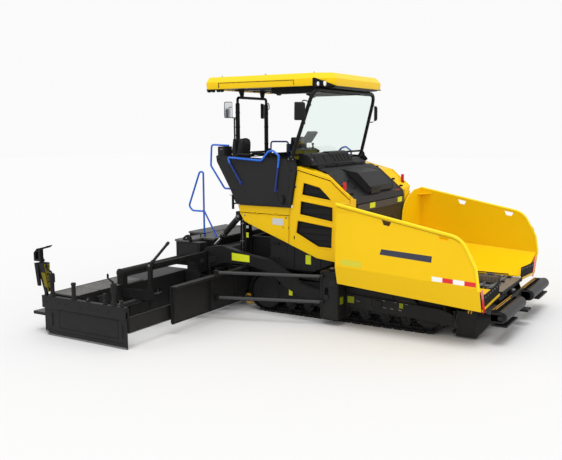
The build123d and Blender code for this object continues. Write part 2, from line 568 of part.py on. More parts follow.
# control console that slides across in front of the seats
console = (prism_y([(-345, 2450), (-90, 2440), (-90, 2600), (-150, 2622), (-345, 2560)], 60, 560)
           + cyl_z(-110, 180, 18, 2590, 2790)
           + ruled([[(-110, 20, 2750), (-80, 20, 2735), (-80, 330, 2735), (-110, 330, 2750)],
                    [(20, 20, 2925), (50, 20, 2910), (50, 330, 2910), (20, 330, 2925)]]))
node("control_console", console)

SEAT_X, SEAT_Y = -640, 960
seat = (box(SEAT_X - 30, SEAT_X + 470, -SEAT_Y - 230, -SEAT_Y + 230, 2330, 2440)
        + prism_y([(SEAT_X - 130, 2836), (SEAT_X - 150, 2800), (SEAT_X - 60, 2330), (SEAT_X + 60, 2330),
                   (SEAT_X + 60, 2440), (SEAT_X - 40, 2836)], -SEAT_Y - 230, -SEAT_Y + 230))
both("seats", seat)
pedestal = (box(SEAT_X + 40, SEAT_X + 400, -SEAT_Y - 150, -SEAT_Y + 150, PLAT_FLOOR - 5, 2280)
            + box(SEAT_X - 10, SEAT_X + 450, -SEAT_Y - 190, -SEAT_Y + 190, 2280, 2330))
toolbox = box(-1000, -870, -1236, -1010, 2535, 2690)
console_leg = prism_y([(-270, 1895), (-150, 1895), (-150, 2442), (-270, 2446.5)], 250, 370)
node("operator_platform", platform + pedestal + left(pedestal) + toolbox + left(toolbox) + console_leg)

# ------------------------------------------------------------ canopy and its frames
roof_bot = [(-1385, -1040), (730, -1040), (1000, -865), (1000, 865), (730, 1040), (-1385, 1040)]
roof_mid = [(-1395, -1045), (735, -1045), (1008, -870), (1008, 870), (735, 1045), (-1395, 1045)]
roof_top = [(-1200, -950), (640, -950), (880, -800), (880, 800), (640, 950), (-1200, 950)]


def section(pts, z):
    return [(x, y, z) for x, y in pts]


roof = ruled([section(roof_bot, 3641), section(roof_mid, 3775)]) + ruled([section(roof_mid, 3775), section(roof_top, 3848)])
cav_mid = [(x * 0.97 - 8, y * 0.97) for x, y in roof_bot]
cav_top = [(x * 0.96 - 8, y * 0.96) for x, y in roof_top]
cavity = prism_z(cav_mid, 3630, 3740) + ruled([section(cav_mid, 3740), section(cav_top, 3815)])
node("canopy_roof", roof - cavity)
rafters = (box(-1300, 940, -460, -400, 3665, 3738) + box(-1300, 940, 400, 460, 3665, 3738)
           + box(-1180, -1060, -460, 460, 3665, 3738) + box(710, 830, -460, 460, 3665, 3738))
RF_X, RF_Y = -1114, 469
rear_frame = (bent_tube([(RF_X, -RF_Y, 2250), (RF_X, -RF_Y, 3521), (RF_X, RF_Y, 3521), (RF_X, RF_Y, 2250)], 30, 110)
              + cyl_z(RF_X, -RF_Y, 38, 2400, 3390) + cyl_z(RF_X, RF_Y, 38, 2400, 3390)
              + rod((RF_X, -RF_Y, 2560), (RF_X, RF_Y, 2560), 18)
              + box(-1138, -985, -507, -433, 2250, 2440) + box(-1138, -985, 433, 507, 2250, 2440)
              + rod((-1110, -330, 3521), (-1115, -345, 3664), 38) + rod((-1110, 330, 3521), (-1115, 345, 3664), 38)
              + box(-1165, -1080, -430, 430, 3640, 3666))
node("canopy_frame", rear_frame + rafters)

# windshield frame leans forward and narrows upward; its feet stand on the side panels
def ws_x(z):
    return 501.5 + 0.3008 * (z - 2700)


def ws_y(z):
    return 1260 - 0.12 * (z - 2700)


WS_FOOT, WS_TOP = 2462, 3585
ws_path = [(ws_x(z), s * ws_y(z), z) for s, z in ((-1, WS_FOOT), (-1, WS_TOP), (1, WS_TOP), (1, WS_FOOT))]
ws_frame = (bent_tube(ws_path, 30, 170) + rod((466, -1250, 2563), (466, 1250, 2563), 10)
            + rod((768, -430, WS_TOP), (768, -430, 3663), 26) + rod((768, 430, WS_TOP), (768, 430, 3663), 26))
panel_solid = prism_y(PANEL, -1290, -PLAT_Y)
node("windshield_frame", ws_frame - panel_solid - left(panel_solid))


def pane_row(z, half):
    return [(ws_x(z) - 4, -half, z), (ws_x(z) + 4, -half, z), (ws_x(z) + 4, half, z), (ws_x(z) - 4, half, z)]


glass = ruled([pane_row(2578, 1236), pane_row(3410, 1138)]) + ruled([pane_row(3410, 1138), pane_row(3550, 1000)])
node("windshield_glass", glass)

# four mirrors on short arms from the frames
mir_rr = (box(-1228, -1172, -695, -555, 3166, 3448) + rod((-1200, -560, 3210), (-1200, -520, 3190), 10)
          + Pos(-1200, -521, 3190) * Sphere(14) + rod((-1200, -521, 3190), (-1130, -485, 3190), 9))
mir_rl = (box(-1318, -1262, 510, 650, 3166, 3448) + rod((-1290, 520, 3210), (-1200, 500, 3190), 10)
          + Pos(-1201, 500, 3190) * Sphere(14) + rod((-1201, 500, 3190), (-1130, 485, 3190), 9))
mir_f = (box(600, 700, -1490, -1310, 3106, 3382) + rod((650, -1315, 3250), (664, -1190, 3250), 10))
mir_fl = left(mir_f)
node("mirrors", mir_rr - rear_frame, mir_rl - rear_frame, mir_f - ws_frame, mir_fl - ws_frame)

# exhaust outlet by the windshield's left foot
exhaust = (cyl_z(640, 900, 48, 2350, 2400) + ruled([
    [(592, 852, 2390), (688, 852, 2390), (688, 948, 2390), (592, 948, 2390)],
    [(575, 840, 2470), (735, 840, 2500), (735, 960, 2500), (575, 960, 2470)]]))
node("exhaust_outlet", exhaust)

# ------------------------------------------------------------ blue guard rails
rail_side = bent_tube([(-490, -1312, 2084), (-714, -1312, 2434), (-750, -1312, 2516), (-100, -1312, 2475), (34, -1312, 2618), (120, -1312, 2640),
                       (234, -1312, 2561), (222, -1312, 2421), (165, -1312, 2010)], 17, 30)
rail_rear = bent_tube([(-835, -1150, 2706.5), (-1190, -1150, 2718), (-1211, -1150, 2373), (-935, -1150, 1990),
                       (-712, -1150, 1985)], 16, 34)
rail_far = bent_tube([(-836, 800, 2250), (-836, 800, 2737), (-1215, 800, 2737), (-1231, 800, 2373), (-935, 800, 1990),
                      (-712, 800, 1985)], 16, 34)
node("guard_rails", rail_side, left(rail_side), rail_rear - platform, rail_far - platform)

# ------------------------------------------------------------ write
for name, solids in NODES.items():
    shape = solids[0] if len(solids) == 1 else Compound(children=solids)
    export_step(shape, "parts/" + name + ".step")
lo = [min(tuple(s.bounding_box().min)[i] for v in NODES.values() for s in v) for i in range(3)]
hi = [max(tuple(s.bounding_box().max)[i] for v in NODES.values() for s in v) for i in range(3)]
print("nodes", len(NODES), "low", [round(v, 1) for v in lo], "high", [round(v, 1) for v in hi])
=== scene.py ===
import bpy
import bmesh
import math
import random
from mathutils import Matrix, Vector


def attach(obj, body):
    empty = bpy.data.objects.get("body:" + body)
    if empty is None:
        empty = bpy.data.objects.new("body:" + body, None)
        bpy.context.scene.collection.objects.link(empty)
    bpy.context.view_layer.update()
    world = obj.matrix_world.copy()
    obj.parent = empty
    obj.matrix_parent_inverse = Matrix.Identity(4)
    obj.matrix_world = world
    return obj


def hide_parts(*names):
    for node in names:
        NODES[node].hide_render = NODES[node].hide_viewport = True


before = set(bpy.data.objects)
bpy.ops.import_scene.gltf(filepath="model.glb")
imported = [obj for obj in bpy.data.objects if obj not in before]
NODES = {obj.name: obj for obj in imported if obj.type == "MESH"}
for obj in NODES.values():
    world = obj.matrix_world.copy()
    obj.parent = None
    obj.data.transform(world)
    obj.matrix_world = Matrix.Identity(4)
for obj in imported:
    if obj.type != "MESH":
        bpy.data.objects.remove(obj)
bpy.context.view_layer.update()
random.seed(7)
X_MID = 717.5                      # all coordinates below are drafting millimetres, as in the CAD


# ------------------------------------------------------------------ materials
def srgb(r, g, b):
    def lin(c):
        c /= 255.0
        return c / 12.92 if c <= 0.04045 else ((c + 0.055) / 1.055) ** 2.4
    return (lin(r), lin(g), lin(b), 1.0)


class Mat:
    """small helper around one Principled shader"""

    def __init__(self, name, color, rough=0.5, metal=0.0, coat=0.0, coat_rough=0.1, spec=0.16):
        self.m = bpy.data.materials.new(name)
        self.m.use_nodes = True
        self.nt = self.m.node_tree
        self.b = self.nt.nodes["Principled BSDF"]
        self.b.inputs["Base Color"].default_value = color
        self.b.inputs["Roughness"].default_value = rough
        self.b.inputs["Metallic"].default_value = metal
        self.b.inputs["Coat Weight"].default_value = coat
        self.b.inputs["Coat Roughness"].default_value = coat_rough
        self.b.inputs["Specular IOR Level"].default_value = spec
        self.m.diffuse_color = color
        self.coord = self.nt.nodes.new("ShaderNodeTexCoord")
        self.normal = None

    def node(self, kind, **inputs):
        n = self.nt.nodes.new(kind)
        for k, v in inputs.items():
            n.inputs[k.replace("_", " ")].default_value = v
        return n

    def link(self, a, b):
        self.nt.links.new(a, b)

    def noise(self, scale, detail=3.0, rough=0.5, stretch=None):
        n = self.node("ShaderNodeTexNoise", Scale=scale, Detail=detail, Roughness=rough)
        if stretch:
            m = self.nt.nodes.new("ShaderNodeMapping")
            m.inputs["Scale"].default_value = stretch
            self.link(self.coord.outputs["Object"], m.inputs["Vector"])
            self.link(m.outputs["Vector"], n.inputs["Vector"])
        else:
            self.link(self.coord.outputs["Object"], n.inputs["Vector"])
        return n.outputs["Fac"]

    def ramp(self, fac, stops):
        r = self.nt.nodes.new("ShaderNodeValToRGB")
        while len(r.color_ramp.elements) < len(stops):
            r.color_ramp.elements.new(0.5)
        for e, (p, c) in zip(r.color_ramp.elements, stops):
            e.position = p
            e.color = c if len(c) == 4 else (*c, 1)
        self.link(fac, r.inputs["Fac"])
        return r.outputs["Color"]

    def mix(self, fac, a, b, blend="MIX"):
        n = self.nt.nodes.new("ShaderNodeMix")
        n.data_type = "RGBA"
        n.blend_type = blend
        for i, v in ((0, fac), (6, a), (7, b)):
            if isinstance(v, (int, float)):
                n.inputs[i].default_value = v
            elif isinstance(v, tuple):
                n.inputs[i].default_value = v
            else:
                self.link(v, n.inputs[i])
        return n.outputs[2]

    def color(self, socket):
        self.link(socket, self.b.inputs["Base Color"])

    def rough(self, fac, lo, hi):
        m = self.node("ShaderNodeMapRange", To_Min=lo, To_Max=hi)
        self.link(fac, m.inputs["Value"])
        self.link(m.outputs["Result"], self.b.inputs["Roughness"])

    def bump(self, height, strength=0.1, distance=0.002):
        n = self.node("ShaderNodeBump", Strength=strength, Distance=distance)
        self.link(height, n.inputs["Height"])
        if self.normal is not None:
            self.link(self.normal, n.inputs["Normal"])
        self.normal = n.outputs["Normal"]
        self.link(self.normal, self.b.inputs["Normal"])

    def round_edges(self, radius):
        n = self.nt.nodes.new("ShaderNodeBevel")
        n.samples = 4
        n.inputs["Radius"].default_value = radius
        self.normal = n.outputs["Normal"]
        self.link(self.normal, self.b.inputs["Normal"])


def tone(c, f):
    return tuple(min(1, v * f) for v in c[:3]) + (1,)


def paint(name, color, rough, coat=0.0, vary=0.06, dust=0.0, edge=0.004, peel=0.03, spec=0.16):
    """sprayed machine paint: cloudy tone, faint orange peel, a little dust low down"""
    k = Mat(name, color, rough, coat=coat, coat_rough=0.12, spec=spec)
    if edge:
        k.round_edges(edge)
    big = k.noise(1.7, 3, 0.55)
    col = k.ramp(big, [(0.3, tone(color, 1 - vary)), (0.7, tone(color, 1 + vary))])
    if dust:
        sep = k.nt.nodes.new("ShaderNodeSeparateXYZ")
        k.link(k.coord.outputs["Object"], sep.inputs[0])
        low = k.node("ShaderNodeMapRange", From_Min=0.0, From_Max=1.1, To_Min=1.0, To_Max=0.0)
        k.link(sep.outputs["Z"], low.inputs["Value"])
        n = k.noise(9, 6, 0.65)
        mul = k.nt.nodes.new("ShaderNodeMath")
        mul.operation = "MULTIPLY"
        k.link(low.outputs["Result"], mul.inputs[0])
        k.link(n, mul.inputs[1])
        amt = k.nt.nodes.new("ShaderNodeMath")
        amt.operation = "MULTIPLY"
        k.link(mul.outputs[0], amt.inputs[0])
        amt.inputs[1].default_value = dust
        col = k.mix(amt.outputs[0], col, srgb(132, 126, 116))
    k.color(col)
    k.rough(k.noise(22, 4, 0.6), rough - 0.06, rough + 0.08)
    k.bump(k.noise(320, 2, 0.5), peel, 0.0006)
    return k.m


YELLOW = paint("yellow_enamel", srgb(243, 197, 8), 0.36, coat=0.06, vary=0.02, edge=0.006, peel=0.05)
# lighter copy of the body yellow for the roof lit from above: painted highlight
YELLOW_ROOF_LIT = paint("yellow_roof_painted_highlight", srgb(248, 204, 8), 0.4, coat=0.06, vary=0.02, edge=0.0, peel=0.04)
DARK = paint("dark_frame_paint", srgb(27, 27, 28), 0.5, vary=0.10, dust=0.06, edge=0.004, peel=0.12)
DARK2 = paint("dark_panel_paint", srgb(38, 38, 39), 0.55, vary=0.05, edge=0.005, peel=0.18)
BLACK = paint("black_satin", srgb(15, 15, 16), 0.45, vary=0.08, edge=0.003, peel=0.1)
GREY = paint("grey_walkway_paint", srgb(96, 96, 96), 0.6, vary=0.05, edge=0.003, peel=0.1)
TUBE_GREY = paint("stay_tube_paint", srgb(70, 70, 71), 0.45, vary=0.06, edge=0.0, peel=0.08)
BLUE = paint("blue_rail_enamel", srgb(34, 104, 214), 0.3, coat=0.5, vary=0.04, edge=0.0, peel=0.03)
# darker copy of the rail blue for legs, feet and rear rail: painted shade
BLUE_SHADE = paint("blue_rail_painted_shade", srgb(24, 48, 120), 0.35, coat=0.3, vary=0.04, edge=0.0, peel=0.03)
RED = paint("red_marker_plastic", srgb(205, 22, 34), 0.3, coat=0.4, vary=0.03, edge=0.002, peel=0.02)
# olive: machine yellow darkened to how it looks in shade, painted shade
OLIVE_SHADE = paint("olive_painted_shade", srgb(120, 110, 14), 0.5, vary=0.05, edge=0.003, peel=0.05)
# dark brown that stands for the front wall lying in shade: painted shade
HOOD_FRONT_SHADE = paint("hood_front_painted_shade", srgb(50, 45, 33), 0.5, vary=0.08, edge=0.004, peel=0.1)
# blank label in a dark olive tone
DECAL_D = paint("blank_label_dark_olive", srgb(132, 142, 26), 0.5, vary=0.05, edge=0.0, peel=0.02)
# lighter yellow for the lit top of the rolled rim: painted highlight
YELLOW_RIM_LIT = paint("yellow_rim_painted_highlight", srgb(250, 218, 30), 0.36, coat=0.06, vary=0.02, edge=0.0, peel=0.03)
DECAL_Y = paint("blank_label_yellow", srgb(224, 232, 44), 0.45, vary=0.03, edge=0.0, peel=0.02)
DECAL_O = paint("warning_orange", srgb(225, 165, 20), 0.45, vary=0.03, edge=0.0, peel=0.02)
DECAL_P = paint("blank_label_faint", srgb(214, 205, 62), 0.45, vary=0.03, edge=0.0, peel=0.02)
DECAL_W = paint("blank_label_pale", srgb(205, 207, 208), 0.5, vary=0.04, edge=0.0, peel=0.02)
DECAL_BAND = paint("band_blue_grey", srgb(62, 64, 78), 0.4, vary=0.03, edge=0.0, peel=0.02)
REFLECT_R = paint("reflective_red", srgb(222, 38, 40), 0.28, coat=0.5, vary=0.02, edge=0.0, peel=0.02)
REFLECT_W = paint("reflective_white", srgb(244, 244, 242), 0.28, coat=0.5, vary=0.02, edge=0.0, peel=0.02)


def tread_plate():
    k = Mat("tread_plate", srgb(84, 83, 82), 0.6)
    k.round_edges(0.003)
    v = k.node("ShaderNodeTexVoronoi", Scale=38.0)
    k.link(k.coord.outputs["Object"], v.inputs["Vector"])
    h = k.ramp(v.outputs["Distance"], [(0.22, (1, 1, 1)), (0.34, (0, 0, 0))])
    c = k.ramp(k.noise(4, 5, 0.6), [(0.3, srgb(76, 75, 74)), (0.7, srgb(94, 93, 91))])
    wear = k.mix(h, c, srgb(122, 120, 118))
    k.color(wear)
    k.rough(k.noise(30, 4), 0.45, 0.68)
    k.bump(h, 0.5, 0.002)
    return k.m


TREAD = tread_plate()


def worn_steel(name, lo, hi, rough=0.42, streak=(1, 14, 1)):
    k = Mat(name, lo, rough, metal=0.85)
    k.round_edges(0.004)
    n = k.noise(7, 6, 0.65, stretch=streak)
    k.color(k.ramp(n, [(0.32, lo), (0.7, hi)]))
    k.rough(k.noise(26, 5, 0.6, stretch=streak), rough - 0.12, rough + 0.18)
    k.bump(k.noise(120, 4, 0.6, stretch=streak), 0.12, 0.001)
    return k.m


STEEL = worn_steel("worn_conveyor_steel", srgb(104, 103, 104), srgb(150, 149, 150), 0.45, (12, 1, 1))
ROLLER_STEEL = worn_steel("roller_steel", srgb(38, 38, 40), srgb(60, 60, 62), 0.45, (2, 14, 2))
AUGER_STEEL = worn_steel("auger_steel", srgb(36, 35, 34), srgb(62, 60, 57), 0.5, (3, 3, 3))


def cast():
    k = Mat("cast_track_iron", srgb(27, 27, 28), 0.62)
    k.round_edges(0.004)
    c = k.ramp(k.noise(14, 6, 0.65), [(0.3, srgb(20, 20, 21)), (0.75, srgb(36, 35, 34))])
    k.color(c)
    k.rough(k.noise(40, 4), 0.5, 0.75)
    k.bump(k.noise(90, 5, 0.6), 0.35, 0.002)
    return k.m


CAST = cast()


def rubber():
    k = Mat("black_rubber", srgb(20, 20, 21), 0.72, spec=0.12)
    k.color(k.ramp(k.noise(18, 5, 0.6), [(0.3, srgb(17, 17, 18)), (0.75, srgb(29, 28, 28))]))
    k.rough(k.noise(50, 4), 0.62, 0.85)
    k.bump(k.noise(260, 4, 0.6), 0.2, 0.0012)
    return k.m


RUBBER = rubber()


def vinyl():
    k = Mat("seat_vinyl", srgb(24, 24, 25), 0.5, spec=0.2)
    v = k.node("ShaderNodeTexVoronoi", Scale=330.0)
    v.feature = "DISTANCE_TO_EDGE"
    k.link(k.coord.outputs["Object"], v.inputs["Vector"])
    k.color(k.ramp(k.noise(6, 4), [(0.3, srgb(20, 20, 21)), (0.7, srgb(31, 31, 32))]))
    k.rough(k.noise(60, 4), 0.42, 0.62)
    h = k.ramp(v.outputs["Distance"], [(0.0, (0, 0, 0)), (0.2, (1, 1, 1))])
    k.bump(h, 0.25, 0.0008)
    return k.m


VINYL = vinyl()


def moulded(name, c, rough=0.6):
    k = Mat(name, c, rough, spec=0.18)
    k.round_edges(0.004)
    k.color(k.ramp(k.noise(5, 3), [(0.3, tone(c, 0.93)), (0.7, tone(c, 1.08))]))
    k.rough(k.noise(40, 3), rough - 0.06, rough + 0.1)
    k.bump(k.noise(420, 2), 0.25, 0.0008)
    return k.m


PLASTIC = moulded("textured_plastic", srgb(26, 26, 27))
PLASTIC_G = moulded("grey_plastic", srgb(96, 98, 100), 0.5)


def chrome():
    k = Mat("hard_chrome", srgb(200, 202, 205), 0.12, metal=1.0)
    k.rough(k.noise(30, 3), 0.08, 0.2)
    k.color(k.ramp(k.noise(8, 3), [(0.3, srgb(190, 192, 196)), (0.7, srgb(214, 215, 217))]))
    return k.m


CHROME = chrome()


def zinc():
    k = Mat("zinc_bolts", srgb(120, 120, 118), 0.38, metal=0.9)
    k.rough(k.noise(60, 3), 0.28, 0.5)
    k.color(k.ramp(k.noise(20, 4), [(0.3, srgb(100, 100, 98)), (0.7, srgb(150, 149, 146))]))
    return k.m


ZINC = zinc()


def mirror_face():
    k = Mat("mirror_glass", srgb(215, 218, 220), 0.04, metal=1.0)
    k.rough(k.noise(3, 2), 0.03, 0.07)
    return k.m


MIRROR = mirror_face()


def glass():
    """thin pane: mostly see-through with a faint sheen that grows at grazing angles"""
    k = Mat("tinted_laminate", srgb(229, 242, 239), 0.05)
    k.b.inputs["Alpha"].default_value = 0.12
    nt = k.nt
    out = nt.nodes["Material Output"]
    mixs = nt.nodes.new("ShaderNodeMixShader")
    tr = nt.nodes.new("ShaderNodeBsdfTransparent")
    tr.inputs["Color"].default_value = srgb(247, 252, 250)
    gl = nt.nodes.new("ShaderNodeBsdfGlossy")
    gl.inputs["Color"].default_value = (1, 1, 1, 1)
    gl.inputs["Roughness"].default_value = 0.05
    mixs.inputs[0].default_value = 0.05
    k.link(tr.outputs[0], mixs.inputs[1])
    k.link(gl.outputs[0], mixs.inputs[2])
    k.link(mixs.outputs[0], out.inputs["Surface"])
    return k.m


GLASS = glass()


def lamp_lens():
    k = Mat("lamp_lens", srgb(245, 246, 248), 0.15, coat=0.6)
    w = k.node("ShaderNodeTexWave", Scale=60.0)
    k.link(k.coord.outputs["Object"], w.inputs["Vector"])
    k.bump(w.outputs["Fac"], 0.3, 0.001)
    k.color(k.ramp(k.noise(30, 2), [(0.3, srgb(236, 238, 240)), (0.7, srgb(252, 252, 252))]))
    return k.m


LENS = lamp_lens()


def mesh_panel():
    """woven radiator grille: tiny square openings by bump and tone"""
    k = Mat("grille_mesh", srgb(26, 26, 27), 0.6)
    col = None
    for i, vec in enumerate(((1, 0, 0), (0, 0, 1))):
        w = k.node("ShaderNodeTexWave", Scale=44.0)
        w.bands_direction = "X" if i == 0 else "Z"
        k.link(k.coord.outputs["Object"], w.inputs["Vector"])
        r = k.ramp(w.outputs["Fac"], [(0.25, (0, 0, 0)), (0.6, (1, 1, 1))])
        col = r if col is None else k.mix(1.0, col, r, "MULTIPLY")
    k.color(k.mix(col, srgb(34, 34, 35), srgb(18, 18, 19)))
    k.rough(k.noise(30, 3), 0.5, 0.65)
    k.bump(col, 0.35, 0.002)
    return k.m


MESH = mesh_panel()

MATS = dict(yellow=YELLOW, roof=YELLOW_ROOF_LIT, dark=DARK, dark2=DARK2, black=BLACK, grey=GREY, tube=TUBE_GREY, blue=BLUE, blue_shade=BLUE_SHADE, olive_shade=OLIVE_SHADE,
            red=RED, decal_y=DECAL_Y, decal_d=DECAL_D, rim=YELLOW_RIM_LIT, decal_o=DECAL_O, decal_p=DECAL_P, decal_w=DECAL_W, band=DECAL_BAND, refl_r=REFLECT_R, refl_w=REFLECT_W, tread=TREAD,
            steel=STEEL, roller=ROLLER_STEEL, auger=AUGER_STEEL, cast=CAST, rubber=RUBBER, vinyl=VINYL, plastic=PLASTIC,
            plastic_g=PLASTIC_G, chrome=CHROME, zinc=ZINC, mirror=MIRROR, glass=GLASS, lens=LENS, mesh=MESH,
            front_wall_shade=HOOD_FRONT_SHADE)


# ------------------------------------------------------------------ mesh building
class Kit:
    """collects shapes given in drafting millimetres, then makes one piece of them"""

    def __init__(self):
        self.v, self.f, self.m = [], [], []
        self.names = []
        self.head = "zinc"

    def mat(self, name):
        if name not in self.names:
            self.names.append(name)
        return self.names.index(name)

    def add(self, verts, faces, mat):
        o = len(self.v)
        k = self.mat(mat)
        self.v += [tuple(p) for p in verts]
        self.f += [tuple(i + o for i in f) for f in faces]
        self.m += [k] * len(faces)
        return self

    def hexa(self, low, high, mat):
        """block between two quads given in the same turning sense"""
        return self.loft([low, high], mat)

    def loft(self, rings, mat, caps=True, closed=True):
        n = len(rings[0])
        v = [p for r in rings for p in r]
        f = []
        for i in range(len(rings) - 1):
            for j in range(n if closed else n - 1):
                a, b = i * n + j, i * n + (j + 1) % n
                f.append((a, b, b + n, a + n))
        if caps:
            f.append(tuple(range(n))[::-1])
            f.append(tuple((len(rings) - 1) * n + j for j in range(n)))
        return self.add(v, f, mat)

    def box(self, x0, x1, y0, y1, z0, z1, mat):
        x0, x1 = sorted((x0, x1))
        y0, y1 = sorted((y0, y1))
        z0, z1 = sorted((z0, z1))
        lo = [(x0, y0, z0), (x1, y0, z0), (x1, y1, z0), (x0, y1, z0)]
        return self.loft([lo, [(x, y, z1) for x, y, _ in lo]], mat)

    def prism(self, pts, axis, a0, a1, mat):
        def p3(p, a):
            return {"x": (a, p[0], p[1]), "y": (p[0], a, p[1]), "z": (p[0], p[1], a)}[axis]
        return self.loft([[p3(p, a0) for p in pts], [p3(p, a1) for p in pts]], mat)

    def lathe(self, p, d, profile, mat, n=24, caps=True):
        """profile of (distance along d, radius)"""
        d = Vector(d).normalized()
        p = Vector(p)
        a = d.orthogonal().normalized()
        b = d.cross(a)
        rings = []
        for s, r in profile:
            r = max(r, 0.01)
            rings.append([tuple(p + d * s + (a * math.cos(t) + b * math.sin(t)) * r)
                          for t in (2 * math.pi * i / n for i in range(n))])
        return self.loft(rings, mat, caps)

    def cyl(self, p, q, r, mat, n=20, r2=None, edge=None):
        p, q = Vector(p), Vector(q)
        length = (q - p).length
        r2 = r if r2 is None else r2
        e = min(r, r2) * 0.12 if edge is None else edge
        e = min(e, length * 0.3)
        prof = [(0, r - e), (e, r), (length - e, r2), (length, r2 - e)] if e else [(0, r), (length, r2)]
        return self.lathe(p, q - p, prof, mat, n)

    def tube(self, path, r, mat, n=12, bend=0.0, seg=5, closed=False):
        pts = round_path([Vector(p) for p in path], bend, seg, closed)
        rings = []
        m = len(pts)
        prev = None
        for i, p in enumerate(pts):
            if closed:
                d = pts[(i + 1) % m] - pts[i - 1]
            else:
                d = pts[min(i + 1, m - 1)] - pts[max(i - 1, 0)]
            d.normalize()
            if prev is None:
                a = d.orthogonal().normalized()
            else:
                a = (prev - d * prev.dot(d)).normalized()
            prev = a
            b = d.cross(a)
            rings.append([tuple(p + (a * math.cos(t) + b * math.sin(t)) * r)
                          for t in (2 * math.pi * j / n for j in range(n))])
        if closed:
            rings.append(rings[0])
            return self.loft(rings, mat, caps=False)
        return self.loft(rings, mat)

    def bolt(self, p, d, r, mat=None, washer=True):
        """hexagon head on a washer"""
        mat = mat or self.head
        d = Vector(d).normalized()
        p = Vector(p)
        if washer:
            self.lathe(p, d, [(-1, r * 1.35), (r * 0.22, r * 1.35)], mat, 12)
        self.lathe(p, d, [(0, r), (r * 0.85, r), (r * 0.95, r * 0.86)], mat, 6)
        return self

    def dome(self, p, d, r, h, mat, n=20):
        prof = [(h * math.sin(a), r * math.cos(a)) for a in (math.pi / 2 * i / 5 for i in range(6))]
        return self.lathe(p, d, prof, mat, n)

    def slab(self, quad, t, mat):
        """thin plate on four points; t is the offset along its normal"""
        a, b, c, d = [Vector(p) for p in quad]
        n = (b - a).cross(d - a).normalized() * t
        return self.loft([[tuple(p) for p in (a, b, c, d)], [tuple(p + n) for p in (a, b, c, d)]], mat)

    def mirror(self):
        """adds the same on the machine's left"""
        o = len(self.v)
        self.v += [(x, -y, z) for x, y, z in self.v[:o]]
        nf = len(self.f)
        self.f += [tuple(i + o for i in f)[::-1] for f in self.f[:nf]]
        self.m += self.m[:nf]
        return self

    def flipped(self):
        k = Kit()
        k.names = list(self.names)
        k.v = [(x, -y, z) for x, y, z in self.v]
        k.f = [f[::-1] for f in self.f]
        k.m = list(self.m)
        return k

    def done(self, name, body, slot, bevel=0.0, smooth=34, segments=1, replaces=(), subdiv=0):
        me = bpy.data.meshes.new(name)
        me.from_pydata([((x - X_MID) / 1000, y / 1000, z / 1000) for x, y, z in self.v], [], self.f)
        for nm in self.names:
            me.materials.append(MATS[nm])
        me.polygons.foreach_set("material_index", self.m)
        bm = bmesh.new()
        bm.from_mesh(me)
        bmesh.ops.recalc_face_normals(bm, faces=bm.faces)
        bm.to_mesh(me)
        bm.free()
        me.polygons.foreach_set("use_smooth", [True] * len(me.polygons))
        me.set_sharp_from_angle(angle=math.radians(smooth))
        me.update()
        ob = bpy.data.objects.new(name, me)
        bpy.context.scene.collection.objects.link(ob)
        if bevel:
            b = ob.modifiers.new("edges", "BEVEL")
            b.width = bevel / 1000
            b.segments = segments
            b.limit_method = "ANGLE"
            b.angle_limit = math.radians(smooth)
            b.harden_normals = True
            b.use_clamp_overlap = True
        if subdiv:
            s = ob.modifiers.new("smooth", "SUBSURF")
            s.levels = s.render_levels = subdiv
        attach(ob, body)
        if replaces:
            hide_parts(*replaces)
        return ob


def round_path(pts, bend, seg, closed=False):
    if bend <= 0 or len(pts) < 3:
        return pts
    out = []
    m = len(pts)
    for i, p in enumerate(pts):
        if not closed and i in (0, m - 1):
            out.append(p)
            continue
        a, c = pts[i - 1], pts[(i + 1) % m]
        u, w = (a - p).normalized(), (c - p).normalized()
        ang = u.angle(w)
        if ang > math.pi - 0.02:
            out.append(p)
            continue
        t = min(bend / math.tan(ang / 2), (a - p).length * 0.48, (c - p).length * 0.48)
        p0, p2 = p + u * t, p + w * t
        for j in range(seg + 1):
            s = j / seg
            out.append(p0 * (1 - s) ** 2 + p * 2 * s * (1 - s) + p2 * s ** 2)
    return out


def rounded(outline, radii, seg=5):
    """2-D outline with its corners rounded; radii is one number or one per corner"""
    pts = [Vector((p[0], p[1], 0)) for p in outline]
    m = len(pts)
    rr = radii if isinstance(radii, (list, tuple)) else [radii] * m
    out = []
    for i, p in enumerate(pts):
        a, c = pts[i - 1], pts[(i + 1) % m]
        u, w = (a - p).normalized(), (c - p).normalized()
        ang = u.angle(w)
        if rr[i] <= 0 or ang > math.pi - 0.05:
            out.append((p.x, p.y))
            continue
        t = min(rr[i] / math.tan(ang / 2), (a - p).length * 0.49, (c - p).length * 0.49)
        p0, p2 = p + u * t, p + w * t
        for j in range(seg + 1):
            s = j / seg
            q = p0 * (1 - s) ** 2 + p * 2 * s * (1 - s) + p2 * s ** 2
            out.append((q.x, q.y))
    return out


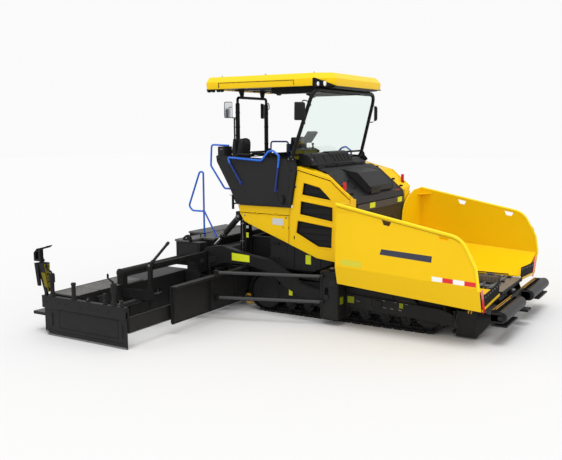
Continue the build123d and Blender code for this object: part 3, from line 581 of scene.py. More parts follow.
def cut(ob, cutter, solver="EXACT"):
    """takes the cutter kit out of a piece and bakes the result into its mesh"""
    me = bpy.data.meshes.new("cutter")
    me.from_pydata([((x - X_MID) / 1000, y / 1000, z / 1000) for x, y, z in cutter.v], [], cutter.f)
    bm = bmesh.new()
    bm.from_mesh(me)
    bmesh.ops.recalc_face_normals(bm, faces=bm.faces)
    bm.to_mesh(me)
    bm.free()
    c = bpy.data.objects.new("cutter", me)
    bpy.context.scene.collection.objects.link(c)
    mod = ob.modifiers.new("cut", "BOOLEAN")
    mod.operation = "DIFFERENCE"
    mod.solver = solver
    mod.object = c
    mods = [m.name for m in ob.modifiers]
    ob.modifiers.move(len(mods) - 1, 0)
    keep = [m for m in ob.modifiers if m.name != "cut"]
    shown = [m.show_viewport for m in keep]
    for m in keep:
        m.show_viewport = False
    bpy.context.view_layer.update()
    dg = bpy.context.evaluated_depsgraph_get()
    new = bpy.data.meshes.new_from_object(ob.evaluated_get(dg))
    ob.modifiers.remove(ob.modifiers["cut"])
    for m, s in zip(keep, shown):
        m.show_viewport = s
    ob.data = new
    new.polygons.foreach_set("use_smooth", [True] * len(new.polygons))
    new.set_sharp_from_angle(angle=math.radians(34))
    bpy.data.objects.remove(c)
    return ob


def both_sides(kit, name, bodies, slot, **kw):
    rep = kw.pop("replaces", ())
    r = kit.done(name + "_right", bodies.format("right"), slot, replaces=[n.format("right") for n in rep], **kw)
    l = kit.flipped().done(name + "_left", bodies.format("left"), slot, replaces=[n.format("left") for n in rep], **kw)
    return r, l


def dress(node, *mats):
    o = NODES[node]
    if not o.data.materials:
        o.data.materials.append(mats[0])
    for i in range(len(o.data.materials)):
        o.data.materials[i] = mats[min(i, len(mats) - 1)]


# ------------------------------------------------------------------ finishes of the carried-over CAD nodes
FINISH = {
    # hopper_back gets the brown that imitates the front wall in shade (painted shade)
    "main_frame": DARK, "engine_block": CAST, "side_tanks": DARK2, "conveyor_floor": STEEL, "hopper_back": HOOD_FRONT_SHADE,
    "track_frames": DARK, "tow_columns": DARK, "auger_supports": DARK, "auger_guards": DARK, "side_shoulders": YELLOW,
    "operator_platform": DARK2, "platform_panels": DARK2, "dash_panel": BLACK, "control_console": PLASTIC,
    "canopy_frame": BLACK, "exhaust_outlet": BLACK, "engine_hood": DARK2, "grille_door_right": YELLOW,
    "grille_door_left": YELLOW, "side_flap_right": YELLOW, "side_flap_left": YELLOW, "door_grilles_right": MESH,
    "door_grilles_left": MESH, "push_beam": DARK, "tow_pins": ZINC, "tow_arms": DARK, "screed_frame": DARK,
    "screed_walkway": TREAD, "extension_frame_right": DARK, "extension_frame_left": DARK,
    "extension_walkway_right": TREAD, "extension_walkway_left": TREAD, "end_plate_right": DARK, "end_plate_left": DARK,
    "lift_barrel_right": DARK, "lift_barrel_left": DARK, "lift_rod_right": CHROME, "lift_rod_left": CHROME,
    "wing_barrel_right": DARK, "wing_barrel_left": DARK, "wing_rod_right": CHROME, "wing_rod_left": CHROME,
    "marker_lamps": RED, "windshield_glass": GLASS, "windshield_frame": BLACK, "seats": VINYL, "mirrors": PLASTIC,
    "guard_rails": BLUE, "stair_rail": BLUE, "canopy_roof": YELLOW_ROOF_LIT, "auger_right": AUGER_STEEL,
    "auger_left": AUGER_STEEL, "push_roller_right": ROLLER_STEEL, "push_roller_left": ROLLER_STEEL,
    "track_right": CAST, "track_left": CAST, "hopper_wing_right": YELLOW, "hopper_wing_left": YELLOW,
    "wing_flap_right": RUBBER, "wing_flap_left": RUBBER,
}
for nm in NODES:
    dress(nm, FINISH.get(nm, DARK))

# ------------------------------------------------------------------ tracks
SPROCKET, IDLER, SHOES = (-50, 335, 335), (2700, 300, 300), 44
PITCH_MM = 1.0


def loop_line():
    xs, zs, rs = SPROCKET
    xi, zi, ri = IDLER
    slope = 2 * math.asin((rs - ri) / (xi - xs))
    top = math.pi / 2 - slope
    b = xi - xs
    arc_f = ri * (top + math.pi / 2)
    pf = (xi + ri * math.cos(top), zi + ri * math.sin(top))
    pr = (xs + rs * math.cos(top), zs + rs * math.sin(top))
    t_len = math.dist(pf, pr)
    total = b + arc_f + t_len + rs * (1.5 * math.pi - top)

    def at(s, inset):
        s %= total
        if s < b:
            return xs + s, inset
        s -= b
        if s < arc_f:
            a = -math.pi / 2 + s / ri
            return xi + (ri - inset) * math.cos(a), zi + (ri - inset) * math.sin(a)
        s -= arc_f
        if s < t_len:
            t = s / t_len
            return (pf[0] + (pr[0] - pf[0]) * t - inset * math.cos(top),
                    pf[1] + (pr[1] - pf[1]) * t - inset * math.sin(top))
        s -= t_len
        a = top + s / rs
        return xs + (rs - inset) * math.cos(a), zs + (rs - inset) * math.sin(a)
    return at, total


def track_kit():
    at, total = loop_line()
    pitch = total / SHOES
    k = Kit()
    k.head = "dark2"

    def block(s0, s1, in0, in1, y0, y1, mat, slope=0.0):
        """block that lies along the loop; slope narrows its outer face along and across"""
        d = slope * (s1 - s0)
        a, b = at(s0 + d, in0), at(s1 - d, in0)
        c, e = at(s1, in1), at(s0, in1)
        e_y = slope * 120
        outer = [(a[0], y0 + e_y, a[1]), (b[0], y0 + e_y, b[1]), (b[0], y1 - e_y, b[1]), (a[0], y1 - e_y, a[1])]
        inner = [(e[0], y0, e[1]), (c[0], y0, c[1]), (c[0], y1, c[1]), (e[0], y1, e[1])]
        k.loft([outer, inner], mat)
    for i in range(SHOES):
        s = i * pitch
        block(s + 0.06 * pitch, s + 0.90 * pitch, 0, 26, -1252, -938, "cast", 0.07)      # pad
        block(s + 0.01 * pitch, s + 0.97 * pitch, 26, 38, -1255, -935, "cast")           # shoe plate
        for y in (-1168, -1062):                                                        # chain links
            block(s + 0.04 * pitch, s + 0.62 * pitch, 38, 75, y - 14, y + 2, "cast")
            block(s + 0.48 * pitch, s + 1.06 * pitch, 38, 75, y + 4, y + 18, "cast")
            x, z = at(s + 0.53 * pitch, 57)
            k.cyl((x, y - 24, z), (x, y + 28, z), 13, "dark2", 10)
        for y in (-1222, -968):                                                         # pad bolts
            for ds in (0.3, 0.66):
                x, z = at(s + ds * pitch, 38)
                x2, z2 = at(s + ds * pitch, 60)
                k.bolt((x, y, z), (x2 - x, 0, z2 - z), 9, "dark2", washer=False)
    return k


k = track_kit()
both_sides(k, "track_chain", "chassis", "track_steel", bevel=2.0, replaces=("track_{}",))

# outer guard plate of the track frame, roller hubs, drive cover
k = Kit()
k.head = "dark2"
plate = rounded([(250, 545), (380, 575), (1180, 585), (2480, 492), (2560, 420), (2500, 300), (2330, 236), (420, 236),
                 (300, 330)], 30)
k.prism(plate, "y", -1247, -1232, "dark")
k.prism([(330, 470), (2440, 440), (2440, 470), (330, 560)], "y", -1232, -1213, "dark")
for i in range(7):                                    # bottom rollers' outer guides and hubs
    x = 380 + 330 * i
    k.prism(rounded([(x - 78, 236), (x - 60, 150), (x + 60, 150), (x + 78, 236)], 18), "y", -1243, -1217, "dark")
    k.cyl((x, -1215, 168), (x, -1256, 168), 40, "cast", 20)
    k.bolt((x, -1256, 168), (0, -1, 0), 16)
    for dx in (-46, 46):
        k.bolt((x + dx, -1244, 212), (0, -1, 0), 9)
for x, z in ((1560, 430), (1790, 412), (2010, 396), (1600, 330), (1660, 326), (1850, 312), (1910, 308), (2180, 300),
             (1420, 400), (560, 440), (900, 440)):    # access holes with bolts
    k.lathe((x, -1247, z), (0, -1, 0), [(-1, 17), (2.0, 17)], "black", 14)
    k.bolt((x, -1248, z), (0, -1, 0), 11, "dark2", washer=False)
k.prism(rounded([(2230, 470), (2235, 380), (2310, 350), (2420, 360), (2470, 430), (2440, 476)], 22), "y", -1256, -1246, "dark2")
k.box(1430, 1450, -1262, -1247, 260, 560, "dark")
k.box(2160, 2176, -1262, -1247, 260, 505, "dark")
k.tube([(1440, -1250, 588), (2480, -1250, 506)], 9, "tube", 8)
# drive cover: turned dish with ring of bolts
k.lathe((-50, -1228, 335), (0, -1, 0), [(0, 268), (14, 272), (22, 262), (26, 250), (34, 246), (40, 232), (41, 120), (49, 112),
                                         (52, 90), (52, 20)], "dark", 48)
for i in range(12):
    a = 2 * math.pi * i / 12
    k.bolt((-50 + 238 * math.cos(a), -1264, 335 + 238 * math.sin(a)), (0, -1, 0), 11)
for i in range(3):
    a = 2 * math.pi * i / 3 + 0.5
    k.bolt((-50 + 60 * math.cos(a), -1279, 335 + 60 * math.sin(a)), (0, -1, 0), 13)
k.prism(rounded([(160, 250), (520, 236), (620, 330), (600, 470), (420, 540), (220, 500), (160, 420)], 26), "y", -1250, -1230, "dark")
k.lathe((540, -1248, 420), (0, -1, 0), [(0, 24), (10, 24), (14, 18)], "dark", 16)
# idler hub and front guard
k.cyl((2700, -1196, 300), (2700, -1246, 300), 88, "cast", 30)
k.cyl((2700, -1240, 300), (2700, -1256, 300), 48, "cast", 24)
for i in range(6):
    a = 2 * math.pi * i / 6
    k.bolt((2700 + 66 * math.cos(a), -1245, 300 + 66 * math.sin(a)), (0, -1, 0), 8)
k.prism(rounded([(2480, 330), (2500, 240), (2700, 205), (2790, 250), (2790, 350), (2700, 395), (2520, 400)], 24), "y", -1230, -1214, "dark")
k.mirror()
k.done("track_frame_guards", "chassis", "dark_paint", bevel=2.5)

# sprocket teeth behind the cover
k = Kit()
k.head = "dark2"
for i in range(17):
    a = 2 * math.pi * i / 17
    ca, sa = math.cos(a), math.sin(a)
    p = []
    for r, w in ((240, 26), (282, 12)):
        for s in (-1, 1):
            p.append((-50 + r * ca - s * w * sa, 335 + r * sa + s * w * ca))
    k.prism([p[0], p[1], p[3], p[2]], "y", -1128, -1098, "cast")
k.mirror()
k.done("sprocket_teeth", "chassis", "track_steel", bevel=2)
# ------------------------------------------------------------------ hopper wings
WX0 = 1453


def arc_corner(p0, p1, p2, r, n=8):
    """points round the corner p1"""
    pts = rounded([p0, p1, p2], [0, r, 0], n)
    return pts[1:-1]


def wing_kit():
    k = Kit()
    t = 18
    top = [(WX0, 1884)] + arc_corner((WX0, 1884), (3330, 1520), (3545, 1110), 330, 12)
    up = [(WX0, 984)] + [(3592, 850)] + [(3510, 1255)] + list(reversed(top[1:])) + [(WX0, 1884)]

    def y_up(z):
        return -1760 + 30 * (z - 850) / 1042
    outer = [(x, y_up(z), z) for x, z in up]
    inner = [(x, y_up(z) + t, z) for x, z in up]
    k.loft([outer, inner], "yellow")
    return k, top


wk, top_line = wing_kit()


def make_wing(left):
    k, top = wing_kit()
    if left:
        k = k.flipped()
    side = "left" if left else "right"
    sg = -1 if left else 1
    ob = k.done("hopper_wing_wall_" + side, "wing_" + side, "yellow_paint", bevel=0)
    c = Kit()
    for x, w in ((2245, 75), (3080, 78)):
        z = 1884 - (x - WX0) * (1884 - 1535) / (3245 - WX0)
        ps = [(x - w, z - 26), (x + w, z - 56), (x + w * .6, z - 116), (x - w * .6, z - 102)]
        c.prism(ps, "y", -1850 * sg, -1600 * sg, "yellow")
    cut(ob, c)
    b = ob.modifiers.new("edges", "BEVEL")
    b.width = 0.0025
    b.segments = 2
    b.limit_method = "ANGLE"
    b.angle_limit = math.radians(34)
    b.harden_normals = True
    return ob


for lf in (False, True):
    make_wing(lf)

k = Kit()
# lower skirt under the crease, with a soft fold
skirt_r = [(WX0, -1680.4, 701), (WX0, -1752, 950), (WX0, -1760, 984)]
skirt_f = [(3585, -1604.4, 511), (3592, -1750, 820), (3592, -1760, 850)]


def strip(rows, t, mat="yellow"):
    """sheet of thickness t (in y) through rows of points"""
    for a, b in zip(rows[0][:-1], rows[0][1:]):
        pass
    out = rows
    inn = [[(x, y + t, z) for x, y, z in r] for r in rows]
    n = len(out[0])
    ring_r = out[0] + inn[0][::-1]
    ring_f = out[1] + inn[1][::-1]
    k.loft([ring_r, ring_f], mat)


strip([skirt_r, skirt_f], 18)
# top rail and front rim: rolled edge
rim = [(WX0 + 2, y_r, z) for y_r, z in ((-1733, 1889),)] + [(x, -1760 + 30 * (z - 850) / 1042 + 4, z + 2) for x, z in top_line[1:]] \
    + [(3538, -1750, 1130), (3578, -1756, 880), (3580, -1750, 826)]
# rim tube in the lighter yellow: painted highlight
k.tube(rim, 21, "rim", 14, bend=120, seg=6)
# floor in two facets with a folded lip
rear_top = [(-622, 640), (-1180, 700), (-1600, 860), (-1744, 985)]
front_top = [(-622, 625), (-1150, 660), (-1540, 765), (-1740, 842)]
ring_r = [(WX0 + 4, y, z) for y, z in rear_top] + [(WX0 + 4, y, z - 18) for y, z in rear_top[::-1]]
ring_f = [(3560, y, z) for y, z in front_top] + [(3560, y, z - 18) for y, z in front_top[::-1]]
k.loft([ring_r, ring_f], "yellow")
# rear wall with its rolled inner edge
inner_edge = [(-830, 650), (-825, 1381), (-850, 1520), (-909, 1638), (-1000, 1720), (-1100, 1780), (-1376, 1868), (-1735, 1884)]
rear = [(-1752, 970), (-1620, 850), (-1180, 690)] + inner_edge
k.prism(rear, "x", WX0 + 2, WX0 + 18, "yellow")
k.tube([(WX0 + 10, y, z) for y, z in inner_edge], 12, "yellow", 10, bend=60, seg=4)
# gusset, stiffener under the skirt, hinge knuckles along the floor's inner edge
k.prism([(WX0 + 20, -1738), (WX0 + 250, -1738), (WX0 + 20, -1510)], "z", 1778, 1790, "yellow")
k.box(3140, 3158, -1555, -1430, 610, 745, "dark")
k.box(3242, 3260, -1555, -1430, 610, 745, "dark")
k.cyl((3120, -1500, 660), (3280, -1500, 660), 19, "zinc", 14)
for x in (1510, 2210, 2910):
    k.cyl((x, -620, 620), (x + 120, -620, 620), 13, "yellow", 16)
    k.box(x, x + 120, -665, -620, 611, 631, "yellow")
k.box(1900, 1915, -1600, -1180, 640, 690, "yellow")
k.box(2700, 2715, -1560, -1180, 628, 670, "yellow")
both_sides(k, "hopper_wing_floor", "wing_{}", "yellow_paint", bevel=2.5, segments=2, replaces=("hopper_wing_{}",))

# bare band, label, reflective blocks on the outer wall
k = Kit()


def on_wall(x, z):
    y = -1760 + 30 * (z - 850) / 1042 if z >= 850 + (984 - 850) * (3592 - x) / (3592 - WX0) else -1760 + 120 * (850 - z) / 300
    return (x, y, z)


def wall_patch(x0, z0, x1, z1, x2, z2, x3, z3, mat):
    q = [on_wall(x0, z0), on_wall(x1, z1), on_wall(x2, z2), on_wall(x3, z3)]
    lo = [(x, y + 1.0, z) for x, y, z in q]
    hi = [(x, y - 1.4, z) for x, y, z in q]
    k.loft([lo, hi], mat)


WALL_MARKS = [
    (2182, 1286, 2930, 1245, 2922, 1157, 2157, 1207, "band"),
    (1546, 1089, 1873, 1076, 1873, 990, 1546, 1003, "decal_p"),
]
for row in WALL_MARKS:
    wall_patch(*row)
BLOCK_X = (2936, 3088, 3235, 3393, 3548)
for i in range(4):
    xa, xb = BLOCK_X[i], BLOCK_X[i + 1] - 2
    za, zb = (969 - 27 * (x - 2936) / 612 for x in (xa, xb))
    wall_patch(xa, za, xb, zb, xb, zb - 62, xa, za - 63, "refl_w" if i % 2 == 0 else "refl_r")
# painted shadow under the folded rim: a thin dark strip laid on the wall
line = [(x, z - 30) for x, z in top_line[1:8]]
for (xa, za), (xb, zb) in zip([(WX0 + 20, 1850)] + line[:-1], line):
    wall_patch(xa, za, xb, zb, xb, zb - 7, xa, za - 7, "olive_shade")
both_sides(k, "wing_markings", "wing_{}", "yellow_paint")

# front rubber flap with its clamp strip, reflector and yellow lip
k = Kit()
k.prism([(-668, 566), (-1540, 506), (-1600, 520), (-1600, 700), (-668, 756)], "x", 3566, 3578, "rubber")
k.prism([(-668, 590), (-1540, 534), (-1540, 500), (-668, 556)], "x", 3578, 3588, "yellow")
for i in range(8):
    y = -700 - 115 * i
    k.bolt((3579, y, 752 - 0.068 * (-y - 668) - 26), (1, 0, 0), 10)
k.loft([[(3581, -1650, 800), (3581, -1560, 812), (3581, -1415, 478), (3581, -1500, 468)],
        [(3589, -1650, 800), (3589, -1560, 812), (3589, -1415, 478), (3589, -1500, 468)]], "refl_r")
both_sides(k, "front_flap", "wing_{}", "black_rubber", bevel=1.5, replaces=("wing_flap_{}",))
# ------------------------------------------------------------------ canopy
def ring(outline, z, rad, s=1.0, seg=6):
    return [(x * s if s != 1 else x, y * s if s != 1 else y, z) for x, y in rounded(outline, rad, seg)]


ROOF_B = [(-1390, -1040), (735, -1040), (1003, -867), (1003, 867), (735, 1040), (-1390, 1040)]


def inset(outline, d):
    cx = sum(p[0] for p in outline) / len(outline)
    out = []
    for x, y in outline:
        out.append((x + d * (1 if x < cx else -1), y + d * (1 if y < 0 else -1)))
    return out


def lid(side, rear, front):
    """roof outline drawn in by its own amount at the sides, the rear and the front"""
    return [(-1390 + rear, -1040 + side), (735 - front * 0.6, -1040 + side), (1003 - front, -867 + side * 0.6),
            (1003 - front, 867 - side * 0.6), (735 - front * 0.6, 1040 - side), (-1390 + rear, 1040 - side)]


RAD = [90, 60, 60, 60, 60, 90]
k = Kit()
rings = [ring(inset(ROOF_B, 60), 3690, RAD), ring(inset(ROOF_B, 40), 3650, RAD), ring(inset(ROOF_B, 22), 3641, RAD), ring(inset(ROOF_B, 4), 3645, RAD),
         ring(ROOF_B, 3660, RAD), ring(inset(ROOF_B, -5), 3715, RAD), ring(inset(ROOF_B, -5), 3756, RAD),
         ring(lid(2, -3, 4), 3764, RAD), ring(lid(66, 4, 62), 3838, RAD), ring(lid(80, 12, 78), 3846, RAD),
         ring(lid(110, 40, 110), 3849, RAD), ring(inset(ROOF_B, 230), 3850, RAD)]
# roof shell in the lighter yellow: painted highlight
k.loft(rings, "roof")
k.done("canopy_shell", "chassis", "roof_shell", smooth=26, replaces=("canopy_roof",))

k = Kit()
# black liner and ribs of the underside
k.prism(rounded(inset(ROOF_B, 66), RAD, 6), "z", 3662, 3676, "black")
for y in (-900, -300, 300, 900):
    k.box(-1280, 880, y - 22, y + 22, 3644, 3664, "black")
for s in (-1, 1):
    # lengthwise ducts with rounded rear ends and a lamp under each
    duct = rounded([(-290, 3662), (-290, 3590), (-220, 3548), (700, 3552), (700, 3662)], [10, 40, 40, 10, 10], 5)
    k.prism(duct, "y", s * 520, s * 680, "black")
    k.cyl((-285, s * 555, 3606), (-285, s * 640, 3606), 36, "black", 18)
    k.cyl((-190, s * 560, 3556), (-190, s * 640, 3556), 30, "black", 18)
for x in (-1375, -1290, -1180, -1110):
    k.prism(rounded([(x, 3652), (x, 3604), (x + 28, 3592), (x + 56, 3606), (x + 56, 3652)], 10), "y", -1004, -952, "black")
k.box(-1380, -1050, -1012, -946, 3632, 3652, "black")
# front visor strip under the edge
k.loft([[(690, -985, 3641), (975, -820, 3641), (975, 820, 3641), (690, 985, 3641)],
        [(700, -950, 3614), (945, -800, 3614), (945, 800, 3614), (700, 950, 3614)]], "black")
k.done("canopy_liner", "chassis", "dark_paint", bevel=3)

# inset side panels, black lamp corners, eye bolts
k = Kit()


def groove(x0, x1, z0, z1, y):
    k.box(x0, x1, y - 7, y + 2, z1 - 6, z1 + 2, "black")
    k.box(x0 - 2, x0 + 9, y - 7, y + 2, z0, z1, "black")
    k.box(x1 - 4, x1 + 1, y - 7, y + 2, z0, z1, "black")


groove(-1105, 352, 3661, 3741, -1043)


def corner_plate():
    """black pocket of the chamfered corner, drawn over the shell, with a slanted front edge"""
    pts = [(690, -1050), (735, -1050), (1012, -873), (1012, -800)]
    hi_z = [3763, 3763, 3640, 3634]
    inner = [(690, -1030), (729, -1030), (994, -862), (994, -800)]
    ring_a = [(x, y, 3632) for x, y in pts] + [(x, y, 3632) for x, y in inner[::-1]]
    ring_b = [(x, y, z) for (x, y), z in zip(pts, hi_z)] + [(x, y, z) for (x, y), z in zip(inner[::-1], hi_z[::-1])]
    k.loft([ring_a, ring_b], "black")


corner_plate()
ld = Vector((0.985, -0.17, 0))
for cx, cy, cz, rr in ((868, -985, 3672, 44), (785, -1052, 3668, 36)):
    p = (cx, cy, cz)
    k.lathe(p, ld, [(-34, rr * .72), (-10, rr + 4), (5, rr + 6), (8, rr + 2), (8, rr - 2)], "black", 28)
    k.lathe(p, ld, [(0, rr - 1), (7, rr - 2), (12, rr - 8), (15, rr * .5), (16, 0.5)], "lens", 28)
    k.box(cx - 18, cx + 6, cy + 20, cy + 70, cz - 16, cz + 16, "black")
for x, y in ((-1101, -930), (-242, -930), (640, -900)):
    k.cyl((x, y, 3836), (x, y, 3850), 12, "black", 14)
    k.tube([(x - 9, y, 3846), (x - 9, y, 3862), (x + 9, y, 3862), (x + 9, y, 3846)], 3.5, "black", 8, bend=8)
k.mirror()
k.done("canopy_fittings", "chassis", "dark_paint", bevel=1.5)

# frames that carry the roof
k = Kit()
RX_, RY_ = -1114, 469
k.tube([(RX_, -RY_, 2250), (RX_, -RY_, 3410)], 38, "black", 20)
k.tube([(RX_, RY_, 2250), (RX_, RY_, 3410)], 38, "black", 20)
k.tube([(RX_, -RY_, 3405), (RX_, -RY_, 3521), (RX_, RY_, 3521), (RX_, RY_, 3405)], 24, "black", 18, bend=130, seg=9)
for s in (-1, 1):
    k.lathe((RX_, s * RY_, 3408), (0, 0, 1), [(-6, 38), (8, 36), (20, 26)], "black", 20)
k.cyl((RX_, -RY_, 2560), (RX_, RY_, 2560), 18, "black", 14)
for s in (-1, 1):
    k.prism(rounded([(-1138, 2250), (-985, 2250), (-985, 2440), (-1060, 2480), (-1156, 2440)], 14), "y", s * 431, s * 509, "black")
    # folded wedge beside the foot
    k.loft([[(-1000, s * 440, 2440), (-1000, s * 500, 2440), (-1090, s * 500, 2440), (-1090, s * 440, 2440)],
            [(-1020, s * 455, 2620), (-1020, s * 500, 2600), (-1085, s * 500, 2600), (-1085, s * 455, 2620)]], "black")
    # flared sockets between the bar and the roof
    k.lathe((-1108, s * 330, 3512), (-0.04, s * 0.1, 1), [(0, 30), (30, 33), (80, 42), (112, 50), (150, 52)], "black", 20)
    k.box(-1180, -1060, s * 400, s * 340, 3630, 3668, "black")
    for x in (-1125, -1040):
        k.bolt((x, s * 509, 2300), (0, s, 0), 12)
        k.bolt((x, s * 509, 2390), (0, s, 0), 12)
    k.box(-1300, 930, s * 400, s * 460, 3665, 3690, "black")
    for z in (2700, 3000, 3250):
        k.lathe((RX_, s * RY_, z), (0, 0, 1), [(0, 42), (22, 42)], "black", 18)
# pair of cross bars between the feet
k.box(-1130, -1098, -431, 431, 2476, 2492, "black")
k.box(-1130, -1098, -431, 431, 2512, 2526, "black")
k.tube([(-1150, -517, 2450), (-1152, -517, 3030), (-1152, -517, 3180)], 15, "tube", 12)
for z in (2560, 2860, 3140):
    k.box(-1160, -1110, -530, -470, z, z + 16, "black")
# hook on the far post
k.tube([(-1080, 440, 3440), (-1020, 400, 3440), (-1000, 392, 3400), (-1000, 392, 3340), (-1030, 405, 3330)], 9, "tube", 8, bend=18)
k.box(-1180, -1060, -460, 460, 3665, 3690, "black")
k.box(710, 830, -460, 460, 3665, 3690, "black")
k.done("canopy_posts", "chassis", "dark_paint", bevel=2, replaces=("canopy_frame",))


def ws(z):
    """x of the windshield's plane at height z"""
    return 501.5 + 0.3008 * (z - 2700)


def wsy(z):
    """half width between the posts at height z"""
    return 1260 - 0.12 * (z - 2700)


k = Kit()
k.tube([(ws(2482), -wsy(2482), 2482), (ws(3585), -wsy(3585), 3585), (ws(3585), wsy(3585), 3585), (ws(2482), wsy(2482), 2482)],
       30, "black", 20, bend=230, seg=10)
k.cyl((466, -1262, 2563), (466, 1262, 2563), 11, "black", 14)
for s in (-1, 1):
    k.tube([(ws(3585), s * 430, 3585), (ws(3585) + 2, s * 430, 3664)], 26, "black", 16)
    # foot plate on the side panel, with its bolts
    k.prism(rounded([(372, 2478), (520, 2474), (508, 2530), (474, 2576), (420, 2560)], 14), "y", s * 1291, s * 1303, "black")
    k.box(372, 512, s * 1243, s * 1302, 2478, 2490, "black")
    for x, z in ((402, 2508), (482, 2504), (455, 2545)):
        k.bolt((x, s * 1303, z), (0, s, 0), 9)
    # clips that hold the pane
    for z in (2760, 3060, 3340):
        k.loft([[(ws(z) + 4, s * (wsy(z) - 6), z - 18), (ws(z) + 4, s * (wsy(z) - 52), z - 18), (ws(z + 36) + 4, s * (wsy(z) - 52), z + 18),
                 (ws(z + 36) + 4, s * (wsy(z) - 6), z + 18)],
                [(ws(z) + 14, s * (wsy(z) - 6), z - 18), (ws(z) + 14, s * (wsy(z) - 52), z - 18), (ws(z + 36) + 14, s * (wsy(z) - 52), z + 18),
                 (ws(z + 36) + 14, s * (wsy(z) - 6), z + 18)]], "black")
k.done("windshield_posts", "chassis", "dark_paint", bevel=2, replaces=("windshield_frame",))

# pane with rounded corners, edged by a rubber bead
pane = rounded([(-1236, 2580), (1236, 2580), (wsy(3548) - 30, 3548), (30 - wsy(3548), 3548)], [40, 40, 190, 190], 10)
k = Kit()
k.loft([[(ws(z) - 3, y, z) for y, z in pane], [(ws(z) + 3, y, z) for y, z in pane]], "glass")
k.done("windshield_pane", "chassis", "clear_glass", replaces=("windshield_glass",))
k = Kit()
k.tube([(ws(z), y, z) for y, z in pane], 7, "rubber", 8, closed=True)
k.done("windshield_bead", "chassis", "black_rubber")


# mirrors: moulded shells with a glass face, on bent arms
def mirror(k, c, w, h, t, yaw, facing, arm):
    """c centre; w width, h height, t depth; yaw turns it about z; facing +1 glass to local +x"""
    o = rounded([(-w / 2, -h / 2), (w / 2, -h / 2), (w / 2 * .96, h / 2), (-w / 2 * .96, h / 2)], 26, 5)
    ca, sa = math.cos(math.radians(yaw)), math.sin(math.radians(yaw))

    def put(d, y, z):
        x, yy = d, y
        return (c[0] + x * ca - yy * sa, c[1] + x * sa + yy * ca, c[2] + z)
    f = facing
    prof = [(0.0, 1.0), (0.25 * t, 1.0), (0.75 * t, 0.93), (t, 0.72)]
    rings = [[put(-f * d, y * s, z * s) for y, z in o] for d, s in prof]
    k.loft(rings, "plastic")
    k.loft([[put(f * 1, y * .94, z * .95) for y, z in o], [put(f * 4, y * .92, z * .93) for y, z in o]], "mirror")
    k.tube(arm, 9, "black", 10, bend=22)


k = Kit()
mirror(k, (-1200, -625, 3307), 150, 280, 52, -38, 1, [(-1196, -560, 3200), (-1186, -535, 3172), (-1140, -500, 3172), (-1124, -490, 3172)])
mirror(k, (-1290, 580, 3307), 150, 280, 52, 22, -1, [(-1270, 560, 3200), (-1240, 530, 3172), (-1160, 490, 3172), (-1134, 480, 3172)])
for s in (-1, 1):
    mirror(k, (650, s * 1400, 3245), 188, 276, 60, s * 24, -1,
           [(668, s * 1340, 3392), (676, s * 1300, 3412), (686, s * 1230, 3405), (702, s * 1190, 3388)])
    k.tube([(664, s * 1330, 3096), (650, s * 1300, 3084), (634, s * 1240, 3092), (626, s * 1218, 3100)], 9, "black", 10, bend=20)
k.done("mirror_set", "chassis", "cab_plastic", bevel=1.5, replaces=("mirrors",))

# ------------------------------------------------------------------ blue rails
k = Kit()
for s in (-1, 1):
    Y = s * 1312
    k.tube([(-505, Y + 12 * -s, 2108), (-714, Y, 2434), (-745, Y, 2516), (-100, Y, 2475), (34, Y, 2618), (120, Y, 2640),
            (234, Y, 2561), (222, Y, 2421), (214, Y, 2370)], 17, "blue", 14, bend=52, seg=6)
    # legs and their feet in the darker blue: painted shade
    k.tube([(214, Y, 2372), (165, Y, 2010)], 16.5, "blue_shade", 14)
    k.tube([(-708, Y, 2425), (-505, Y + 12 * -s, 2108)], 17.6, "blue_shade", 14)
    for x, z in ((-505, 2108), (165, 2010)):
        k.lathe((x, s * 1291, z), (0, s, 0), [(0, 34), (6, 34)], "blue_shade", 16)
        k.lathe((x, s * 1291, z), (0, s, 0), [(0, 18), (30, 18)], "blue_shade", 12)
k.tube([(-835, -1150, 2706), (-1190, -1150, 2718), (-1211, -1150, 2373)], 16, "blue", 14, bend=52, seg=6)
k.tube([(-1211, -1150, 2376), (-1208, -1150, 2360), (-935, -1150, 1990), (-730, -1150, 1985)], 16, "blue", 14, bend=52, seg=6)
# rear rail in the darker blue: painted shade
k.tube([(-836, 800, 2290), (-836, 800, 2737), (-1215, 800, 2737), (-1231, 800, 2373), (-935, 800, 1990), (-730, 800, 1985)], 16, "blue_shade",
       14, bend=52, seg=6)
k.done("blue_rails", "chassis", "blue_paint", replaces=("guard_rails",))

k = Kit()
RX, RY = -1640, -800
k.tube([(RX, RY, 1102), (RX, RY, 2230), (RX - 80, RY, 2230), (RX - 330, RY, 1610), (RX - 250, RY, 1530), (RX - 10, RY, 1530)],
       17, "blue", 14, bend=70, seg=7)
k.tube([(RX + 4, RY, 1540), (RX + 268, RY, 1102)], 15, "blue", 12)
for x in (RX, RX + 268):
    k.lathe((x, RY, 1100), (0, 0, 1), [(0, 36), (7, 36)], "blue", 16)
k.done("blue_stair_rail", "screed", "blue_paint", replaces=("stair_rail",))
